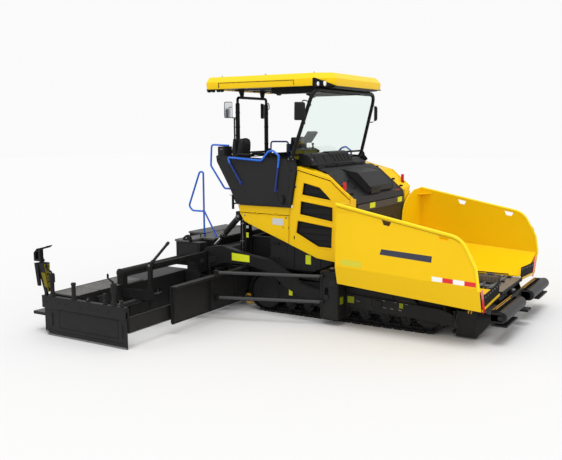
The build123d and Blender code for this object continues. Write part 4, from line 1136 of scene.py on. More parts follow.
# ------------------------------------------------------------------ seats
def cushion(name, size, crown, mat="vinyl", pleats=3, seam=0.006, taper=0.0):
    """padded block in its own space, centred, with a crowned face, pulled-in sides and sewn channels; size in mm"""
    w, d, h = (v / 1000 for v in size)
    bm = bmesh.new()
    bmesh.ops.create_cube(bm, size=1)
    bmesh.ops.subdivide_edges(bm, edges=bm.edges[:], cuts=11, use_grid_fill=True)
    for v in bm.verts:
        x, y, z = (2 * c for c in v.co)
        e = 4.5                                     # super-ellipsoid corners
        n = (abs(x) ** e + abs(y) ** e + abs(z) ** e) ** (1 / e)
        m = max(abs(x), abs(y), abs(z))
        f = m / n if n else 1
        x, y, z = x * f, y * f, z * f
        edge = max(abs(x), abs(y))
        rise = crown / 1000 * (1 - min(1, edge) ** 2.2) if z > 0.3 else 0
        chan = 0
        if z > 0.5:
            for i in range(pleats):
                cx = -0.62 + 1.24 * i / max(1, pleats - 1)
                chan -= seam * math.exp(-((y - cx) / 0.035) ** 2) * (1 - abs(x) ** 6)
        pull = 1 - 0.035 * (1 - z * z) * (1 if abs(z) < 0.6 else 0.6)
        v.co = (x * w / 2 * pull, y * d / 2 * pull * (1 - taper * (x + 1) / 2), z * h / 2 + rise + chan)
    me = bpy.data.meshes.new(name)
    bm.to_mesh(me)
    bm.free()
    me.materials.append(MATS[mat])
    me.polygons.foreach_set("use_smooth", [True] * len(me.polygons))
    ob = bpy.data.objects.new(name, me)
    bpy.context.scene.collection.objects.link(ob)
    s = ob.modifiers.new("smooth", "SUBSURF")
    s.levels = s.render_levels = 1
    return ob


def bake(ob):
    """applies the piece's modifiers to its mesh"""
    bpy.context.view_layer.update()
    dg = bpy.context.evaluated_depsgraph_get()
    me = bpy.data.meshes.new_from_object(ob.evaluated_get(dg))
    ob.modifiers.clear()
    ob.data = me
    me.polygons.foreach_set("use_smooth", [True] * len(me.polygons))


def inflate(ob, cap, pressure=4.0):
    """short cloth run with air pressure, moves held under cap metres"""
    bake(ob)
    rest = [v.co.copy() for v in ob.data.vertices]
    c = ob.modifiers.new("cloth", "CLOTH")
    c.settings.use_pressure = True
    c.settings.uniform_pressure_force = pressure
    c.settings.effector_weights.gravity = 0
    c.settings.quality = 5
    c.settings.mass = 0.4
    sc = bpy.context.scene
    c.point_cache.frame_start = 1
    c.point_cache.frame_end = 14
    for f in range(1, 15):
        sc.frame_set(f)
    dg = bpy.context.evaluated_depsgraph_get()
    me = bpy.data.meshes.new_from_object(ob.evaluated_get(dg))
    ob.modifiers.clear()
    for v, r in zip(me.vertices, rest):
        d = v.co - r
        if d.length > cap:
            v.co = r + d * (cap / d.length)
    ob.data = me
    me.polygons.foreach_set("use_smooth", [True] * len(me.polygons))
    sc.frame_set(1)


SEAT_X, SEAT_Y = -640, 960
first = True
for s, side in ((-1, "right"), (1, "left")):
    y0 = s * SEAT_Y
    parts = []
    base = cushion("seat_cushion_" + side, (480, 450, 105), 18)
    inflate(base, 0.010)
    base.matrix_world = Matrix.Translation(((SEAT_X + 222 - X_MID) / 1000, y0 / 1000, 2.372)) @ Matrix.Rotation(math.radians(-3), 4, "Y")
    back = cushion("seat_back_" + side, (430, 430, 100), 16, taper=0.42)
    inflate(back, 0.010)
    back.matrix_world = Matrix.Translation(((SEAT_X - 26 - X_MID) / 1000, y0 / 1000, 2.618)) @ Matrix.Rotation(math.radians(-79), 4, "Y")
    for ob in (base, back):
        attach(ob, "chassis")
        parts.append(ob)
    if first:
        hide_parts("seats")
        first = False
k = Kit()
for s in (-1, 1):
    y = s * SEAT_Y
    # back shell, side frames, armrests
    o = rounded([(SEAT_X - 70, 2345), (SEAT_X - 30, 2345), (SEAT_X - 118, 2820), (SEAT_X - 152, 2812), (SEAT_X - 128, 2600)], 14)
    k.loft([[(x, y - (205 if z < 2700 else 130), z) for x, z in o], [(x, y + (205 if z < 2700 else 130), z) for x, z in o]], "plastic")
    for t in (-1, 1):
        yy = y + t * 228
        k.tube([(SEAT_X - 60, yy, 2520), (SEAT_X + 40, yy, 2560), (SEAT_X + 250, yy, 2556)], 26, "vinyl", 14, bend=40)
        k.dome((SEAT_X + 250, yy, 2556), (1, 0, 0), 26, 14, "vinyl")
        k.tube([(SEAT_X - 40, yy, 2345), (SEAT_X - 60, yy, 2520)], 14, "black", 10)
    k.tube([(SEAT_X - 10, y - 190, 2326), (SEAT_X - 10, y + 190, 2326)], 15, "black", 10)
k.done("seat_shells", "chassis", "cab_plastic", bevel=3)

# ------------------------------------------------------------------ platform
k = Kit()
PANEL = [(-1000, 2532), (-985, 2440), (-719, 1990), (-607, 1751), (418, 1744), (524, 2366), (500, 2478), (-748, 2522)]
# rolled upper edge and seam lines of the side panel
k.tube([(-998, -1265, 2534), (-748, -1265, 2525), (500, -1265, 2481), (522, -1265, 2370)], 12, "dark2", 10, bend=20)
k.prism([(188, 2500), (196, 2500), (170, 2000), (222, 1830), (214, 1830), (162, 2000)], "y", -1292, -1289, "black")
k.prism(rounded([(262, 1950), (330, 1935), (345, 1880), (330, 1800), (300, 1778), (262, 1800), (290, 1870)], 14), "y", -1296, -1289, "black")
k.tube([(292, -1296, 1925), (318, -1302, 1900), (318, -1302, 1835), (298, -1296, 1800)], 9, "black", 8, bend=16)
k.prism(rounded([(215, 2440), (415, 2425), (395, 2060), (380, 1980), (200, 1990)], 22), "y", -1293.5, -1289, "dark2")
for x, z in ((-940, 2480), (-660, 1985), (-560, 1800), (370, 1800), (440, 2330), (-300, 1790), (0, 1786), (-600, 2480), (-100, 2455)):
    k.bolt((x, -1290, z), (0, -1, 0), 9, "black")
k.mirror()
# operator's rear toolboxes and gate hoop
for s in (-1, 1):
    k.prism(rounded([(-1000, 2537), (-872, 2537), (-872, 2688), (-1000, 2688)], 16), "y", s * 1012, s * 1234, "plastic")
    k.box(-960, -905, s * 1236, s * 1240, 2640, 2655, "zinc")
    for z in (2560, 2590, 2620, 2650):
        k.box(-1008, -998, s * 1050, s * 1200, z, z + 12, "black")
k.done("platform_trim", "chassis", "dark_paint", bevel=2)

# dashboard: instrument hood, lower shelf, switches and sockets
k = Kit()
hood_ = rounded([(500, 2556), (506, 2588), (560, 2606), (640, 2592), (757, 2412), (749, 2400), (620, 2560)], 10)
k.prism(hood_, "y", -400, 304, "black")
side_ = rounded([(500, 2552), (506, 2572), (560, 2590), (642, 2576), (752, 2414), (746, 2404), (620, 2548)], 10)
k.prism(side_, "y", -1154, -404, "black")
low_ = rounded([(500, 2448), (506, 2462), (560, 2474), (644, 2464), (752, 2404), (744, 2392), (620, 2440)], 8)
k.prism(low_, "y", 306, 826, "black")
# glare strip and vents on the slope facing the hood
for y0, y1 in ((-1130, -1010), (-960, -700), (-660, -430)):
    k.loft([[(662, y0, 2548), (662, y1, 2548), (738, y1, 2430), (738, y0, 2430)],
            [(668, y0, 2553), (668, y1, 2553), (744, y1, 2435), (744, y0, 2435)]], "plastic")
k.cyl((700, -1080, 2492), (712, -1080, 2500), 20, "plastic_g", 16)
for i in range(5):
    y = -330 + 130 * i
    k.loft([[(664, y, 2556), (664, y + 96, 2556), (740, y + 96, 2438), (740, y, 2438)],
            [(670, y, 2561), (670, y + 96, 2561), (746, y + 96, 2443), (746, y, 2443)]], "plastic")
k.prism(rounded([(560, 2468), (640, 2462), (650, 2510), (570, 2518)], 10), "y", 420, 520, "black")
for y in (-300, -150, 0, 150):
    k.cyl((500, y, 2500), (492, y, 2500), 24, "plastic_g", 18)
    k.cyl((500, y, 2440), (488, y, 2440), 10, "red" if y == 0 else "plastic_g", 12)
k.tube([(752, -700, 2372), (758, 0, 2372), (752, 700, 2372)], 10, "rubber", 10)
for y0, y1 in ((-980, -760), (-300, -120), (380, 640)):
    k.box(744, 756, y0, y1, 2352, 2396, "black")
k.box(600, 640, -960, -900, 2583, 2592, "plastic_g")
k.done("dash_fittings", "chassis", "cab_plastic", bevel=2)

# console with tilted screen
k = Kit()
# console body in darkened yellow: painted shade
k.prism(rounded([(-345, 2446), (-86, 2436), (-86, 2604), (-150, 2628), (-345, 2566)], 18), "y", 58, 562, "olive_shade")
k.prism(rounded([(-352, 2566), (-345, 2556), (-150, 2618), (-78, 2596), (-78, 2612), (-150, 2640), (-340, 2586)], 6), "y", 50, 570, "plastic_g")
for i in range(4):
    for j in range(5):
        k.cyl((-310 + 50 * i, 130 + 90 * j, 2588 + 16 * i), (-312 + 50 * i, 130 + 90 * j, 2600 + 16 * i), 13,
              "red" if (i, j) == (0, 4) else "plastic", 12)
k.box(-300, -120, 220, 400, 1900, 1908, "dark2")
k.cyl((-110, 260, 2604), (-110, 260, 2618), 30, "plastic_g", 16)
for x in (-285, -135):
    for y in (235, 385):
        k.bolt((x, y, 1908), (0, 0, 1), 8)
k.tube([(-110, 180, 2600), (-112, 180, 2720), (-80, 180, 2790)], 17, "plastic_g", 12, bend=30)
k.tube([(-120, 470, 2610), (-130, 470, 2700)], 13, "plastic", 10)
k.dome((-130, 470, 2695), (0, 0, 1), 26, 30, "plastic")
k.tube([(-230, 90, 2600), (-250, 90, 2690)], 13, "plastic", 10)
k.dome((-250, 90, 2686), (0, 0, 1), 26, 30, "plastic")
k.loft([[(-118, 14, 2752), (-84, 14, 2728), (-84, 336, 2728), (-118, 336, 2752)],
        [(16, 14, 2934), (50, 14, 2910), (50, 336, 2910), (16, 336, 2934)]], "plastic_g")
k.loft([[(-112, 34, 2766), (-108, 34, 2763), (-108, 316, 2763), (-112, 316, 2766)],
        [(2, 34, 2924), (6, 34, 2921), (6, 316, 2921), (2, 316, 2924)]], "black")
k.done("console_box", "chassis", "cab_plastic", bevel=4, segments=2, replaces=("control_console",))

# exhaust stub: oval ear-shaped outlet, cut open towards the front
k = Kit()
pts = round_path([Vector(p) for p in [(640, 900, 2352), (640, 900, 2392), (652, 904, 2440), (690, 914, 2478)]], 40, 5)
rings = []
for i, p in enumerate(pts):
    d = (pts[min(i + 1, len(pts) - 1)] - pts[max(i - 1, 0)]).normalized()
    a = Vector((0, 1, 0))
    b = d.cross(a).normalized()
    t = i / (len(pts) - 1)
    ra, rb = 46 + 18 * t * t, 46 + 28 * t * t
    rings.append([tuple(p + a * math.cos(q) * ra + b * math.sin(q) * rb) for q in (2 * math.pi * j / 28 for j in range(28))])
tip = pts[-1]
inner = [[tuple(tip + (Vector(c) - tip) * 0.88) for c in rings[-1]],
         [tuple(tip + (Vector(c) - tip) * 0.80 - Vector((30, 8, 26))) for c in rings[-1]]]
k.loft(rings + inner, "black")
k.lathe((640, 900, 2349), (0, 0, 1), [(0, 74), (12, 74), (18, 54)], "black", 28)
k.done("exhaust_ear", "chassis", "dark_paint", replaces=("exhaust_outlet",))
# ------------------------------------------------------------------ yellow covers: frames, seams, latches
CY = -1240


def seam(k, pts, y, w=5, d=2.0, mat="black"):
    """thin line laid on a face at constant y through (x, z) points"""
    for a, b in zip(pts[:-1], pts[1:]):
        ax, az = a
        bx_, bz = b
        L = math.hypot(bx_ - ax, bz - az)
        nx_, nz_ = -(bz - az) / L * w / 2, (bx_ - ax) / L * w / 2
        lo = [(ax - nx_, y, az - nz_), (bx_ - nx_, y, bz - nz_), (bx_ + nx_, y, bz + nz_), (ax + nx_, y, az + nz_)]
        k.loft([lo, [(x, yy - d, z) for x, yy, z in lo]], mat)


def frame_strip(k, pts, y, w, h, mat):
    """closed raised frame around an outline, width w inwards/outwards, height h"""
    n = len(pts)
    cx = sum(p[0] for p in pts) / n
    cz = sum(p[1] for p in pts) / n
    out = []
    inn = []
    for i in range(n):
        a, b, c = pts[i - 1], pts[i], pts[(i + 1) % n]
        u = Vector((b[0] - a[0], b[1] - a[1])).normalized()
        v = Vector((c[0] - b[0], c[1] - b[1])).normalized()
        m = Vector((-(u.y + v.y), u.x + v.x))
        if m.length < 1e-6:
            m = Vector((-u.y, u.x))
        m.normalize()
        s = 1 / max(0.35, m.dot(Vector((-u.y, u.x))))
        out.append((b[0] + m.x * w / 2 * s, b[1] + m.y * w / 2 * s))
        inn.append((b[0] - m.x * w / 2 * s, b[1] - m.y * w / 2 * s))
    v = []
    for yy in (y, y - h):
        v += [(x, yy, z) for x, z in out] + [(x, yy, z) for x, z in inn]
    f = []
    for i in range(n):
        j = (i + 1) % n
        o0, o1, i0, i1 = i, j, n + i, n + j
        O0, O1, I0, I1 = [q + 2 * n for q in (o0, o1, i0, i1)]
        f += [(O0, O1, I1, I0), (o0, o1, O1, O0), (i1, i0, I0, I1), (o1, o0, i0, i1)]
    k.add(v, f, mat)


WINS = [[(643, 2141), (921, 2074), (1138, 1883), (612, 1953)],
        [(592, 1850), (1147, 1775), (1148, 1557), (574, 1643)],
        [(534, 1538), (1140, 1464), (1131, 1142), (904, 1149), (504, 1336)]]
DOOR = [(529, 2325), (1102, 2176), (1190, 2092), (1425, 1900), (1425, 930), (1179, 932), (876, 966),
        (374, 1152), (380, 1611), (402, 1735), (432, 1738), (506, 2187)]

k = Kit()
for w in WINS:
    r = rounded(w, 12, 3)
    gx = sum(p[0] for p in w) / len(w)
    gz = sum(p[1] for p in w) / len(w)
    wide = rounded([(x + (13 if x > gx else -13), z + (13 if z > gz else -13)) for x, z in w], 20, 4)
    frame_strip(k, wide, CY, 13, 5, "yellow")
    # rubber lip just inside each opening
    cx = sum(p[0] for p in w) / len(w)
    cz = sum(p[1] for p in w) / len(w)
    small = [(cx + (x - cx) * 0.985, cz + (z - cz) * 0.97) for x, z in r]
    v = [(x, CY + 3, z) for x, z in small] + [(x, CY + 33, z) for x, z in small]
    n = len(small)
    inner = [(cx + (x - cx) * 0.968, cz + (z - cz) * 0.945) for x, z in r]
    v += [(x, CY + 3, z) for x, z in inner] + [(x, CY + 33, z) for x, z in inner]
    f = []
    for i in range(n):
        j = (i + 1) % n
        f += [(i, j, 2 * n + j, 2 * n + i), (2 * n + i, 2 * n + j, 3 * n + j, 3 * n + i)]
    k.add(v, f, "black")
    # horizontal stiffeners of the grille, seen through the opening
zs = [(WINS[0], 3), (WINS[1], 3), (WINS[2], 4)]
for w, m in zs:
    lo = min(p[1] for p in w)
    hi = max(p[1] for p in w)
    for i in range(1, m):
        z = lo + (hi - lo) * i / m
        xs = []
        n = len(w)
        for a, b in zip(w, w[1:] + w[:1]):
            if (a[1] - z) * (b[1] - z) < 0:
                t = (z - a[1]) / (b[1] - a[1])
                xs.append(a[0] + (b[0] - a[0]) * t)
        if len(xs) == 2:
            x0, x1 = sorted(xs)
            if x1 - x0 > 60:
                k.box(x0 + 12, x1 - 12, CY + 26, CY + 35, z - 3, z + 3, "black")
# folded rim of the door and press line near its lower edge
seam(k, [(1418, 1880), (1418, 950)], CY - 0.2, 5, 1.2)
seam(k, [(392, 1170), (398, 1608), (418, 1722), (446, 1728), (518, 2180), (540, 2312)], CY - 0.2, 3, 1.0, "yellow")
k.dome((495, CY, 2070), (0, -1, 0), 14, 5, "black")
k.lathe((495, CY, 2070), (0, -1, 0), [(0, 19), (3, 19), (4, 16)], "zinc", 20)
k.box(462, 478, CY - 4, CY, 1240, 1290, "black")
k.bolt((1370, CY, 1850), (0, -1, 0), 8, "yellow")
k.bolt((1370, CY, 985), (0, -1, 0), 8, "yellow")
both_sides(k, "door_trim", "door_{}", "yellow_paint", bevel=1.0)

k = Kit()
FL = [(-569, 1610), (368, 1603), (364, 1158), (-381, 1428), (-487, 1477)]
k.prism(rounded([(64, 1448), (270, 1444), (270, 1550), (64, 1553)], 6), "y", CY - 3, CY, "decal_w")
k.dome((385 - 20, CY, 1412), (0, -1, 0), 10, 5, "black")
k.dome((261, CY, 1412), (0, -1, 0), 10, 5, "black")
frame_strip(k, rounded([(-548, 1596), (355, 1590), (352, 1180), (-370, 1440), (-470, 1488)], 10, 3), CY, 5, 1.4, "yellow")
for x in (-470, 320):
    k.lathe((x, CY, 1570), (0, -1, 0), [(0, 15), (3, 15), (5, 11)], "zinc", 18)
both_sides(k, "flap_trim", "flap_{}", "yellow_paint", bevel=0.8)

k = Kit()
# edge shadow lines where the covers meet, and the folded rim of the shoulders
seam(k, [(-600, 1737), (394, 1735)], CY - 0.2, 4, 1.5)
k.tube([(520, CY + 13, 2380), (1110, CY + 13, 2228), (1205, CY + 13, 2142), (1430, CY + 13, 1952)], 15, "yellow", 14, bend=60)
# red marker lamp feet
k.lathe((1318, -1172, 2018), (0, 0, 1), [(0, 32), (14, 32), (17, 27)], "black", 20)
k.lathe((1318, -1172, 2154), (0, 0, 1), [(0, 27), (6, 26), (10, 18), (11, 0.5)], "red", 20)
for z in (2050, 2072, 2094, 2116, 2138):
    k.lathe((1318, -1172, z), (0, 0, 1), [(0, 26.5), (2, 27.6), (4, 26.5)], "red", 20)
# rubber buffers between the shoulder and the hood
for x, z in ((860, 2300), (1180, 2090), (1330, 1975)):
    k.box(x, x + 60, -1012, -1002, z - 18, z + 12, "rubber")
k.mirror()
k.done("cover_edges", "chassis", "yellow_paint", bevel=1.0)

# ------------------------------------------------------------------ hood
HP = Vector((1428 - 765, 0, 1810 - 2402))


def on_hood(x, y, off):
    """point on the sloping top or front of the hood, lifted by off"""
    line = [(765, 2352), (800, 2348), (962, 2268), (1395, 1908), (1428, 1810)]
    for (x0, z0), (x1, z1) in zip(line[:-1], line[1:]):
        if x0 <= x <= x1:
            t = (x - x0) / (x1 - x0)
            L = math.hypot(x1 - x0, z1 - z0)
            return (x + off * (z0 - z1) / L, y, z0 + (z1 - z0) * t + off * (x1 - x0) / L)
    return (x, y, 2352)


def patch(k, x0, x1, y0, y1, off, mat):
    k.loft([[on_hood(x0, y0, off), on_hood(x1, y0, off), on_hood(x1, y1, off), on_hood(x0, y1, off)],
            [on_hood(x0, y0, -1), on_hood(x1, y0, -1), on_hood(x1, y1, -1), on_hood(x0, y1, -1)]], mat)


k = Kit()
# two wide air slots in the front of the raised part, with a bar between them
for z0, z1 in ((2012, 2044), (1932, 1990)):
    k.box(1374, 1403, -368, -8, z0, z1, "black")
k.box(1374, 1402, -372, 0, 1992, 2008, "dark2")
for i in range(4):
    k.box(1380, 1401, -300 + 90 * i, -294 + 90 * i, 1934, 1988, "dark2")
# black patch on the near slope beside the raised part: painted shade
patch(k, 975, 1392, -880, -384, 1.5, "black")
for y in (-372, 552):
    for x, z in ((930, 2304), (1120, 2270), (1215, 2212), (1330, 2098)):
        d = Vector((0.3, 0, 1.6)) if x < 1165 else Vector((1.08, 0, 1.08))
        k.bolt((x, y + (14 if y < 0 else -14), z), d, 8, "black")
# folded rim of the raised part
k.tube([(850, -378, 2316), (1163, -378, 2260), (1376, -378, 2048), (1391, -378, 1966)], 7, "dark2", 10, bend=12)
k.tube([(850, 558, 2316), (1163, 558, 2260), (1376, 558, 2048), (1391, 558, 1966)], 7, "dark2", 10, bend=12)
# side seams of the hood, a thin red line and two bent handles near its front edge
patch(k, 800, 1390, -984, -978, 1.5, "black")
patch(k, 800, 1390, 978, 984, 1.5, "black")
k.tube([on_hood(1386, 640, 4), on_hood(1386, 880, 4)], 5, "red", 8)
for y in (-640, 700):
    a, b = on_hood(1120, y, 4), on_hood(1240, y, 4)
    k.tube([a, (a[0] + 20, y, a[2] + 40), (b[0] + 18, y, b[2] + 36), b], 9, "black", 10, bend=18)
k.done("hood_trim", "hood", "dark_paint", bevel=1.0)

# ------------------------------------------------------------------ front wall of the tractor behind the hopper
k = Kit()
k.box(1437, 1441, -955, 955, 1690, 1800, "tube")
for y0, y1, z0 in ((-500, -295, 1712), (660, 850, 1712)):
    k.box(1440, 1443, y0, y1, z0, 1796, "decal_y")
# bands in the painted-shade brown of the front wall
k.box(1439, 1447, -900, 900, 1672, 1684, "front_wall_shade")
k.box(1439, 1447, -900, 900, 1024, 1052, "front_wall_shade")
for y in (-860, -430, 430, 860):
    for z in (1100, 1400, 1660):
        k.bolt((1438, y, z), (1, 0, 0), 9, "dark2")
# conveyor flow gates hanging in the tunnel mouths
for s in (-1, 1):
    k.box(1440, 1445, s * 80, s * 800, 880, 1030, "steel")
    k.box(1440, 1448, s * 420, s * 460, 900, 1500, "dark")
k.done("hopper_back_trim", "chassis", "dark_paint", bevel=2)
# ------------------------------------------------------------------ auger flights
def flight(k, x, z, y0, y1, r_in, r_out, pitch, hand, t, mat, steps=20):
    """helical ribbon of thickness t between y0 and y1"""
    n = max(8, int(steps * abs(y1 - y0) / pitch))
    rings = []
    for i in range(n + 1):
        u = i / n
        y = y0 + (y1 - y0) * u
        a = hand * 2 * math.pi * (y - y0) / pitch
        c, s = math.cos(a), math.sin(a)
        rings.append([(x + c * r_in, y - t / 2, z + s * r_in), (x + c * r_out, y - t * .3, z + s * r_out),
                      (x + c * r_out, y + t * .3, z + s * r_out), (x + c * r_in, y + t / 2, z + s * r_in)])
    k.loft(rings, mat)


k = Kit()
k.head = "dark2"
k.cyl((-780, -135, 400), (-780, -2400, 400), 40, "auger", 28)
for a, b in ((-160, -1172), (-1234, -2394)):
    flight(k, -780, 400, a, b, 38, 188, 300, 1, 12, "auger")
    # wear segments bolted near the rim, once per quarter turn
    m = int(abs(b - a) / 75)
    for i in range(m):
        y = a - 37 - 75 * i
        if y < b + 20:
            continue
        ang = 2 * math.pi * (y - a) / 300
        c, s_ = math.cos(ang), math.sin(ang)
        k.cyl((-780 + c * 150, y - 12, 400 + s_ * 150), (-780 + c * 150, y + 12, 400 + s_ * 150), 13, "zinc", 8)
for y in (-160, -640, -1165, -1245, -1700, -2150):
    k.lathe((-780, y, 400), (0, -1, 0), [(0, 54), (40, 54)], "auger", 24)
    k.bolt((-780, y - 20, 454), (0, 0, 1), 9)
k.lathe((-780, -2396, 400), (0, -1, 0), [(0, 40), (8, 36)], "zinc", 24)
both_sides(k, "auger_flight", "auger_{}", "worn_steel", replaces=("auger_{}",))

# ------------------------------------------------------------------ hull side, columns, tow columns
k = Kit()
k.head = "dark2"
# rounded panel low on the side, behind the wing; small blank labels
k.prism(rounded([(41, 840), (286, 840), (286, 1133), (41, 1133)], 40, 6), "y", -1164, -1158, "dark2")
k.prism(rounded([(632, 838), (728, 838), (728, 985), (632, 985)], 8), "y", -1163, -1158, "decal_y")
k.prism([(-579, 1172), (-505, 1172), (-505, 1258), (-579, 1258)], "y", -1083, -1079, "decal_y")
k.prism([(-579, 1329), (-505, 1329), (-505, 1379), (-579, 1379)], "y", -1083, -1079, "decal_w")
for x, z in ((60, 860), (266, 860), (60, 1112), (266, 1112)):
    k.bolt((x, -1164, z), (0, -1, 0), 7)
for x in (420, 900, 1110):
    k.box(x, x + 8, -1166, -1160, 760, 1520, "black")
for x in range(20, 1140, 160):
    k.bolt((x, -1160, 1516), (0, -1, 0), 9)
    if x > 300:
        k.bolt((x, -1160, 760), (0, -1, 0), 9)
# dark backing behind the joint line of the side covers; wear strips by the auger drive
k.box(-560, 392, -1176, -1166, 1520, 1730, "dark")
k.box(-540, -400, -1106, -1096, 190, 226, "decal_o")
k.box(-540, -400, -1106, -1096, 60, 84, "decal_o")
k.prism(rounded([(330, 250), (640, 250), (640, 440), (330, 470)], 20), "y", -1258, -1246, "dark")
k.box(379, 445, -1261, -1257, 322, 418, "decal_y")
# tank filler and step irons
k.cyl((560, -1160, 1380), (560, -1182, 1380), 52, "black", 24)
for z in (900, 1130, 1360):
    k.tube([(-20, -1150, z), (-20, -1200, z), (-20, -1200, z + 4), (150, -1200, z + 4), (150, -1200, z), (150, -1150, z)], 9, "dark", 8, bend=16)
k.mirror()
k.done("hull_side", "chassis", "dark_paint", bevel=1.5)

k = Kit()
k.head = "dark2"
# platform columns: flanges, gussets, cylinder brackets, mast with its stays
k.box(-668, -552, -1086, -1080, 640, 1838, "dark")
for z in (700, 1000, 1300, 1600):
    k.box(-662, -553, -1082, -904, z, z + 12, "dark")
k.prism([(-552, 1300), (-552, 1700), (-300, 1828), (-552, 1828)], "y", -1064, -1056, "dark")
for z in (760, 900, 1150, 1420, 1760):
    k.bolt((-610, -1086, z), (0, -1, 0), 11)
k.tube([(-940, -900, 1616), (-940, -900, 1859)], 22, "black", 14)
k.box(-1000, -880, -915, -885, 1850, 1859, "black")
k.tube([(-660, -960, 1700), (-760, -930, 1770), (-930, -902, 1700)], 12, "black", 10, bend=40)
# fork round the head of the lift cylinder
for y0, y1 in ((-1100, -1070), (-1218, -1200)):
    k.prism(rounded([(-665, 1500), (-575, 1500), (-575, 1622), (-665, 1622)], 20), "y", y0 - 2, y1 + 2, "dark")
k.lathe((-620, -1220, 1540), (0, -1, 0), [(0, 26), (8, 26), (10, 20)], "zinc", 20)
# clamped rigid pipes down the column
for i, x in enumerate((-646, -622, -598)):
    k.tube([(x, -1093, 1820), (x, -1093, 1660), (x + 6, -1093, 1300), (x, -1093, 720)], 7, "black" if i != 1 else "zinc", 8, bend=40)
for z in (780, 1100, 1400, 1700):
    k.box(-658, -586, -1104, -1086, z, z + 22, "zinc")
k.mirror()
k.done("column_details", "chassis", "dark_paint", bevel=1.5)

k = Kit()
k.head = "dark2"
# tow column: guide faces, scale, height cylinder head, bolts
for x in (1096, 1362):
    k.box(x, x + 30, -1538, -1530, 130, 824, "dark")
k.box(1250, 1350, -1534, -1530, 620, 700, "dark2")
for z in (160, 260, 360, 620, 720, 800):
    for x in (1110, 1378):
        k.bolt((x, -1538, z), (0, -1, 0), 9)
k.cyl((1245, -1420, 832), (1245, -1420, 868), 60, "dark", 24)
k.cyl((1245, -1420, 868), (1245, -1420, 876), 42, "zinc", 24)
k.tube([(1188, -1400, 842), (1150, -1400, 850), (1120, -1340, 800), (1120, -1310, 780)], 8, "black", 8, bend=20)
for x, z in ((1426, 331),):
    k.box(1402, 1408, -1480, -1380, 331, 440, "decal_d")
# skid foot under the column
k.prism([(1080, 118), (1402, 118), (1402, 96), (1120, 96)], "y", -1532, -1300, "dark")
k.mirror()
k.done("tow_column_details", "chassis", "dark_paint", bevel=1.5)

# tow pins: heads with retaining plates
k = Kit()
k.head = "dark2"
k.lathe((1200, -1545, 440), (0, 1, 0), [(-9, 34), (-8, 38), (0, 38), (0.5, 30)], "dark2", 24)
k.lathe((1200, -1545, 440), (0, 1, 0), [(0, 30), (250, 30)], "dark2", 28)
k.box(1180, 1220, -1560, -1554, 452, 470, "dark2")
k.mirror()
k.done("tow_pin_heads", "tow_points", "dark_paint", bevel=1, replaces=("tow_pins",))

# ------------------------------------------------------------------ tow arms
ARM = [(-800, 1070), (-259, 956), (91, 911), (376, 763), (584, 660), (696, 561), (913, 511),
       (1180, 511), (1255, 470), (1262, 420), (1220, 372), (1087, 361), (737, 370), (514, 468),
       (247, 626), (90, 723), (-261, 791), (-760, 786), (-1010, 690), (-1030, 320), (-1200, 300),
       (-1200, 900), (-1120, 1010), (-930, 1050)]
k = Kit()
k.head = "dark2"
o = rounded(ARM, [40, 60, 60, 60, 60, 60, 60, 30, 30, 20, 30, 30, 60, 60, 60, 60, 60, 60, 40, 10, 10, 40, 30, 60], 5)
k.prism(o, "y", -1480, -1360, "dark")
k.prism([(-574, 843), (-229, 839), (-229, 950), (-574, 968)], "y", -1484, -1480, "decal_y")
for x, z in ((-1150, 340), (-1060, 340), (-1150, 620), (-1060, 620), (-1150, 860), (-900, 980), (-700, 830), (-900, 840), (-1000, 900), (1060, 470),
             (1060, 400), (820, 440)):
    k.bolt((x, -1481, z), (0, -1, 0), 11)
# adjusting plate and stop on the arm's rear
k.prism(rounded([(-1170, 640), (-1040, 640), (-1000, 760), (-900, 800), (-900, 880), (-1170, 880)], 20), "y", -1492, -1481, "dark2")
k.cyl((-1105, -1492, 760), (-1105, -1508, 760), 42, "zinc", 24)
k.mirror()
ob = k.done("tow_arm_plates", "screed", "dark_paint", bevel=5, segments=2, replaces=("tow_arms",))
c = Kit()
c.cyl((1200, -1500, 440), (1200, -1340, 440), 31, "dark", 32, edge=0)
c.cyl((1200, 1340, 440), (1200, 1500, 440), 31, "dark", 32, edge=0)
cut(ob, c)

# ------------------------------------------------------------------ lift cylinders
def sleeve(k, p, d, length, ri, ro, mat, n=32):
    """ring with an open middle"""
    e = min(2.0, (ro - ri) * 0.3)
    k.lathe(p, d, [(0, ri), (0, ro - e), (e, ro), (length - e, ro), (length, ro - e), (length, ri), (0, ri)], mat, n, caps=False)


def ram(k_b, k_r, pivot, eye, at, r_out, r_rod, barrel_len, axis, half=24):
    def p3(u, z):
        return (u, at, z) if axis == "y" else (at, u, z)
    P, E = Vector(p3(*pivot)), Vector(p3(*eye))
    d = (E - P).normalized()
    w = Vector((0, 1, 0)) if axis == "y" else Vector((1, 0, 0))
    # gland nut, weld collar, port blocks and the rigid pipe along the barrel
    sleeve(k_b, P + d * (barrel_len - 62), d, 44, r_out - 1, r_out + 5, "dark")
    sleeve(k_b, P + d * (barrel_len - 78), d, 8, r_out - 1, r_out + 3, "zinc")
    side = d.cross(w).normalized()
    if side.z < 0:
        side = -side
    k_b.tube([P + d * 76 + side * (r_out + 9), P + d * (barrel_len - 96) + side * (r_out + 9)], 6, "zinc", 8)
    for s in (66, barrel_len - 116):
        c = P + d * s
        sleeve(k_b, c, d, 16, r_out - 1, r_out + 3, "zinc")
        k_b.cyl(c + d * 8 + side * (r_out - 3), c + d * 8 + side * (r_out + 18), 10, "zinc", 10)
    sleeve(k_r, E - w * (half + .6), w, 2 * half + 1.2, 20.5, 39, "dark")
    sleeve(k_r, E - d * 66, d, 22, r_rod - 1, r_rod + 8, "dark")


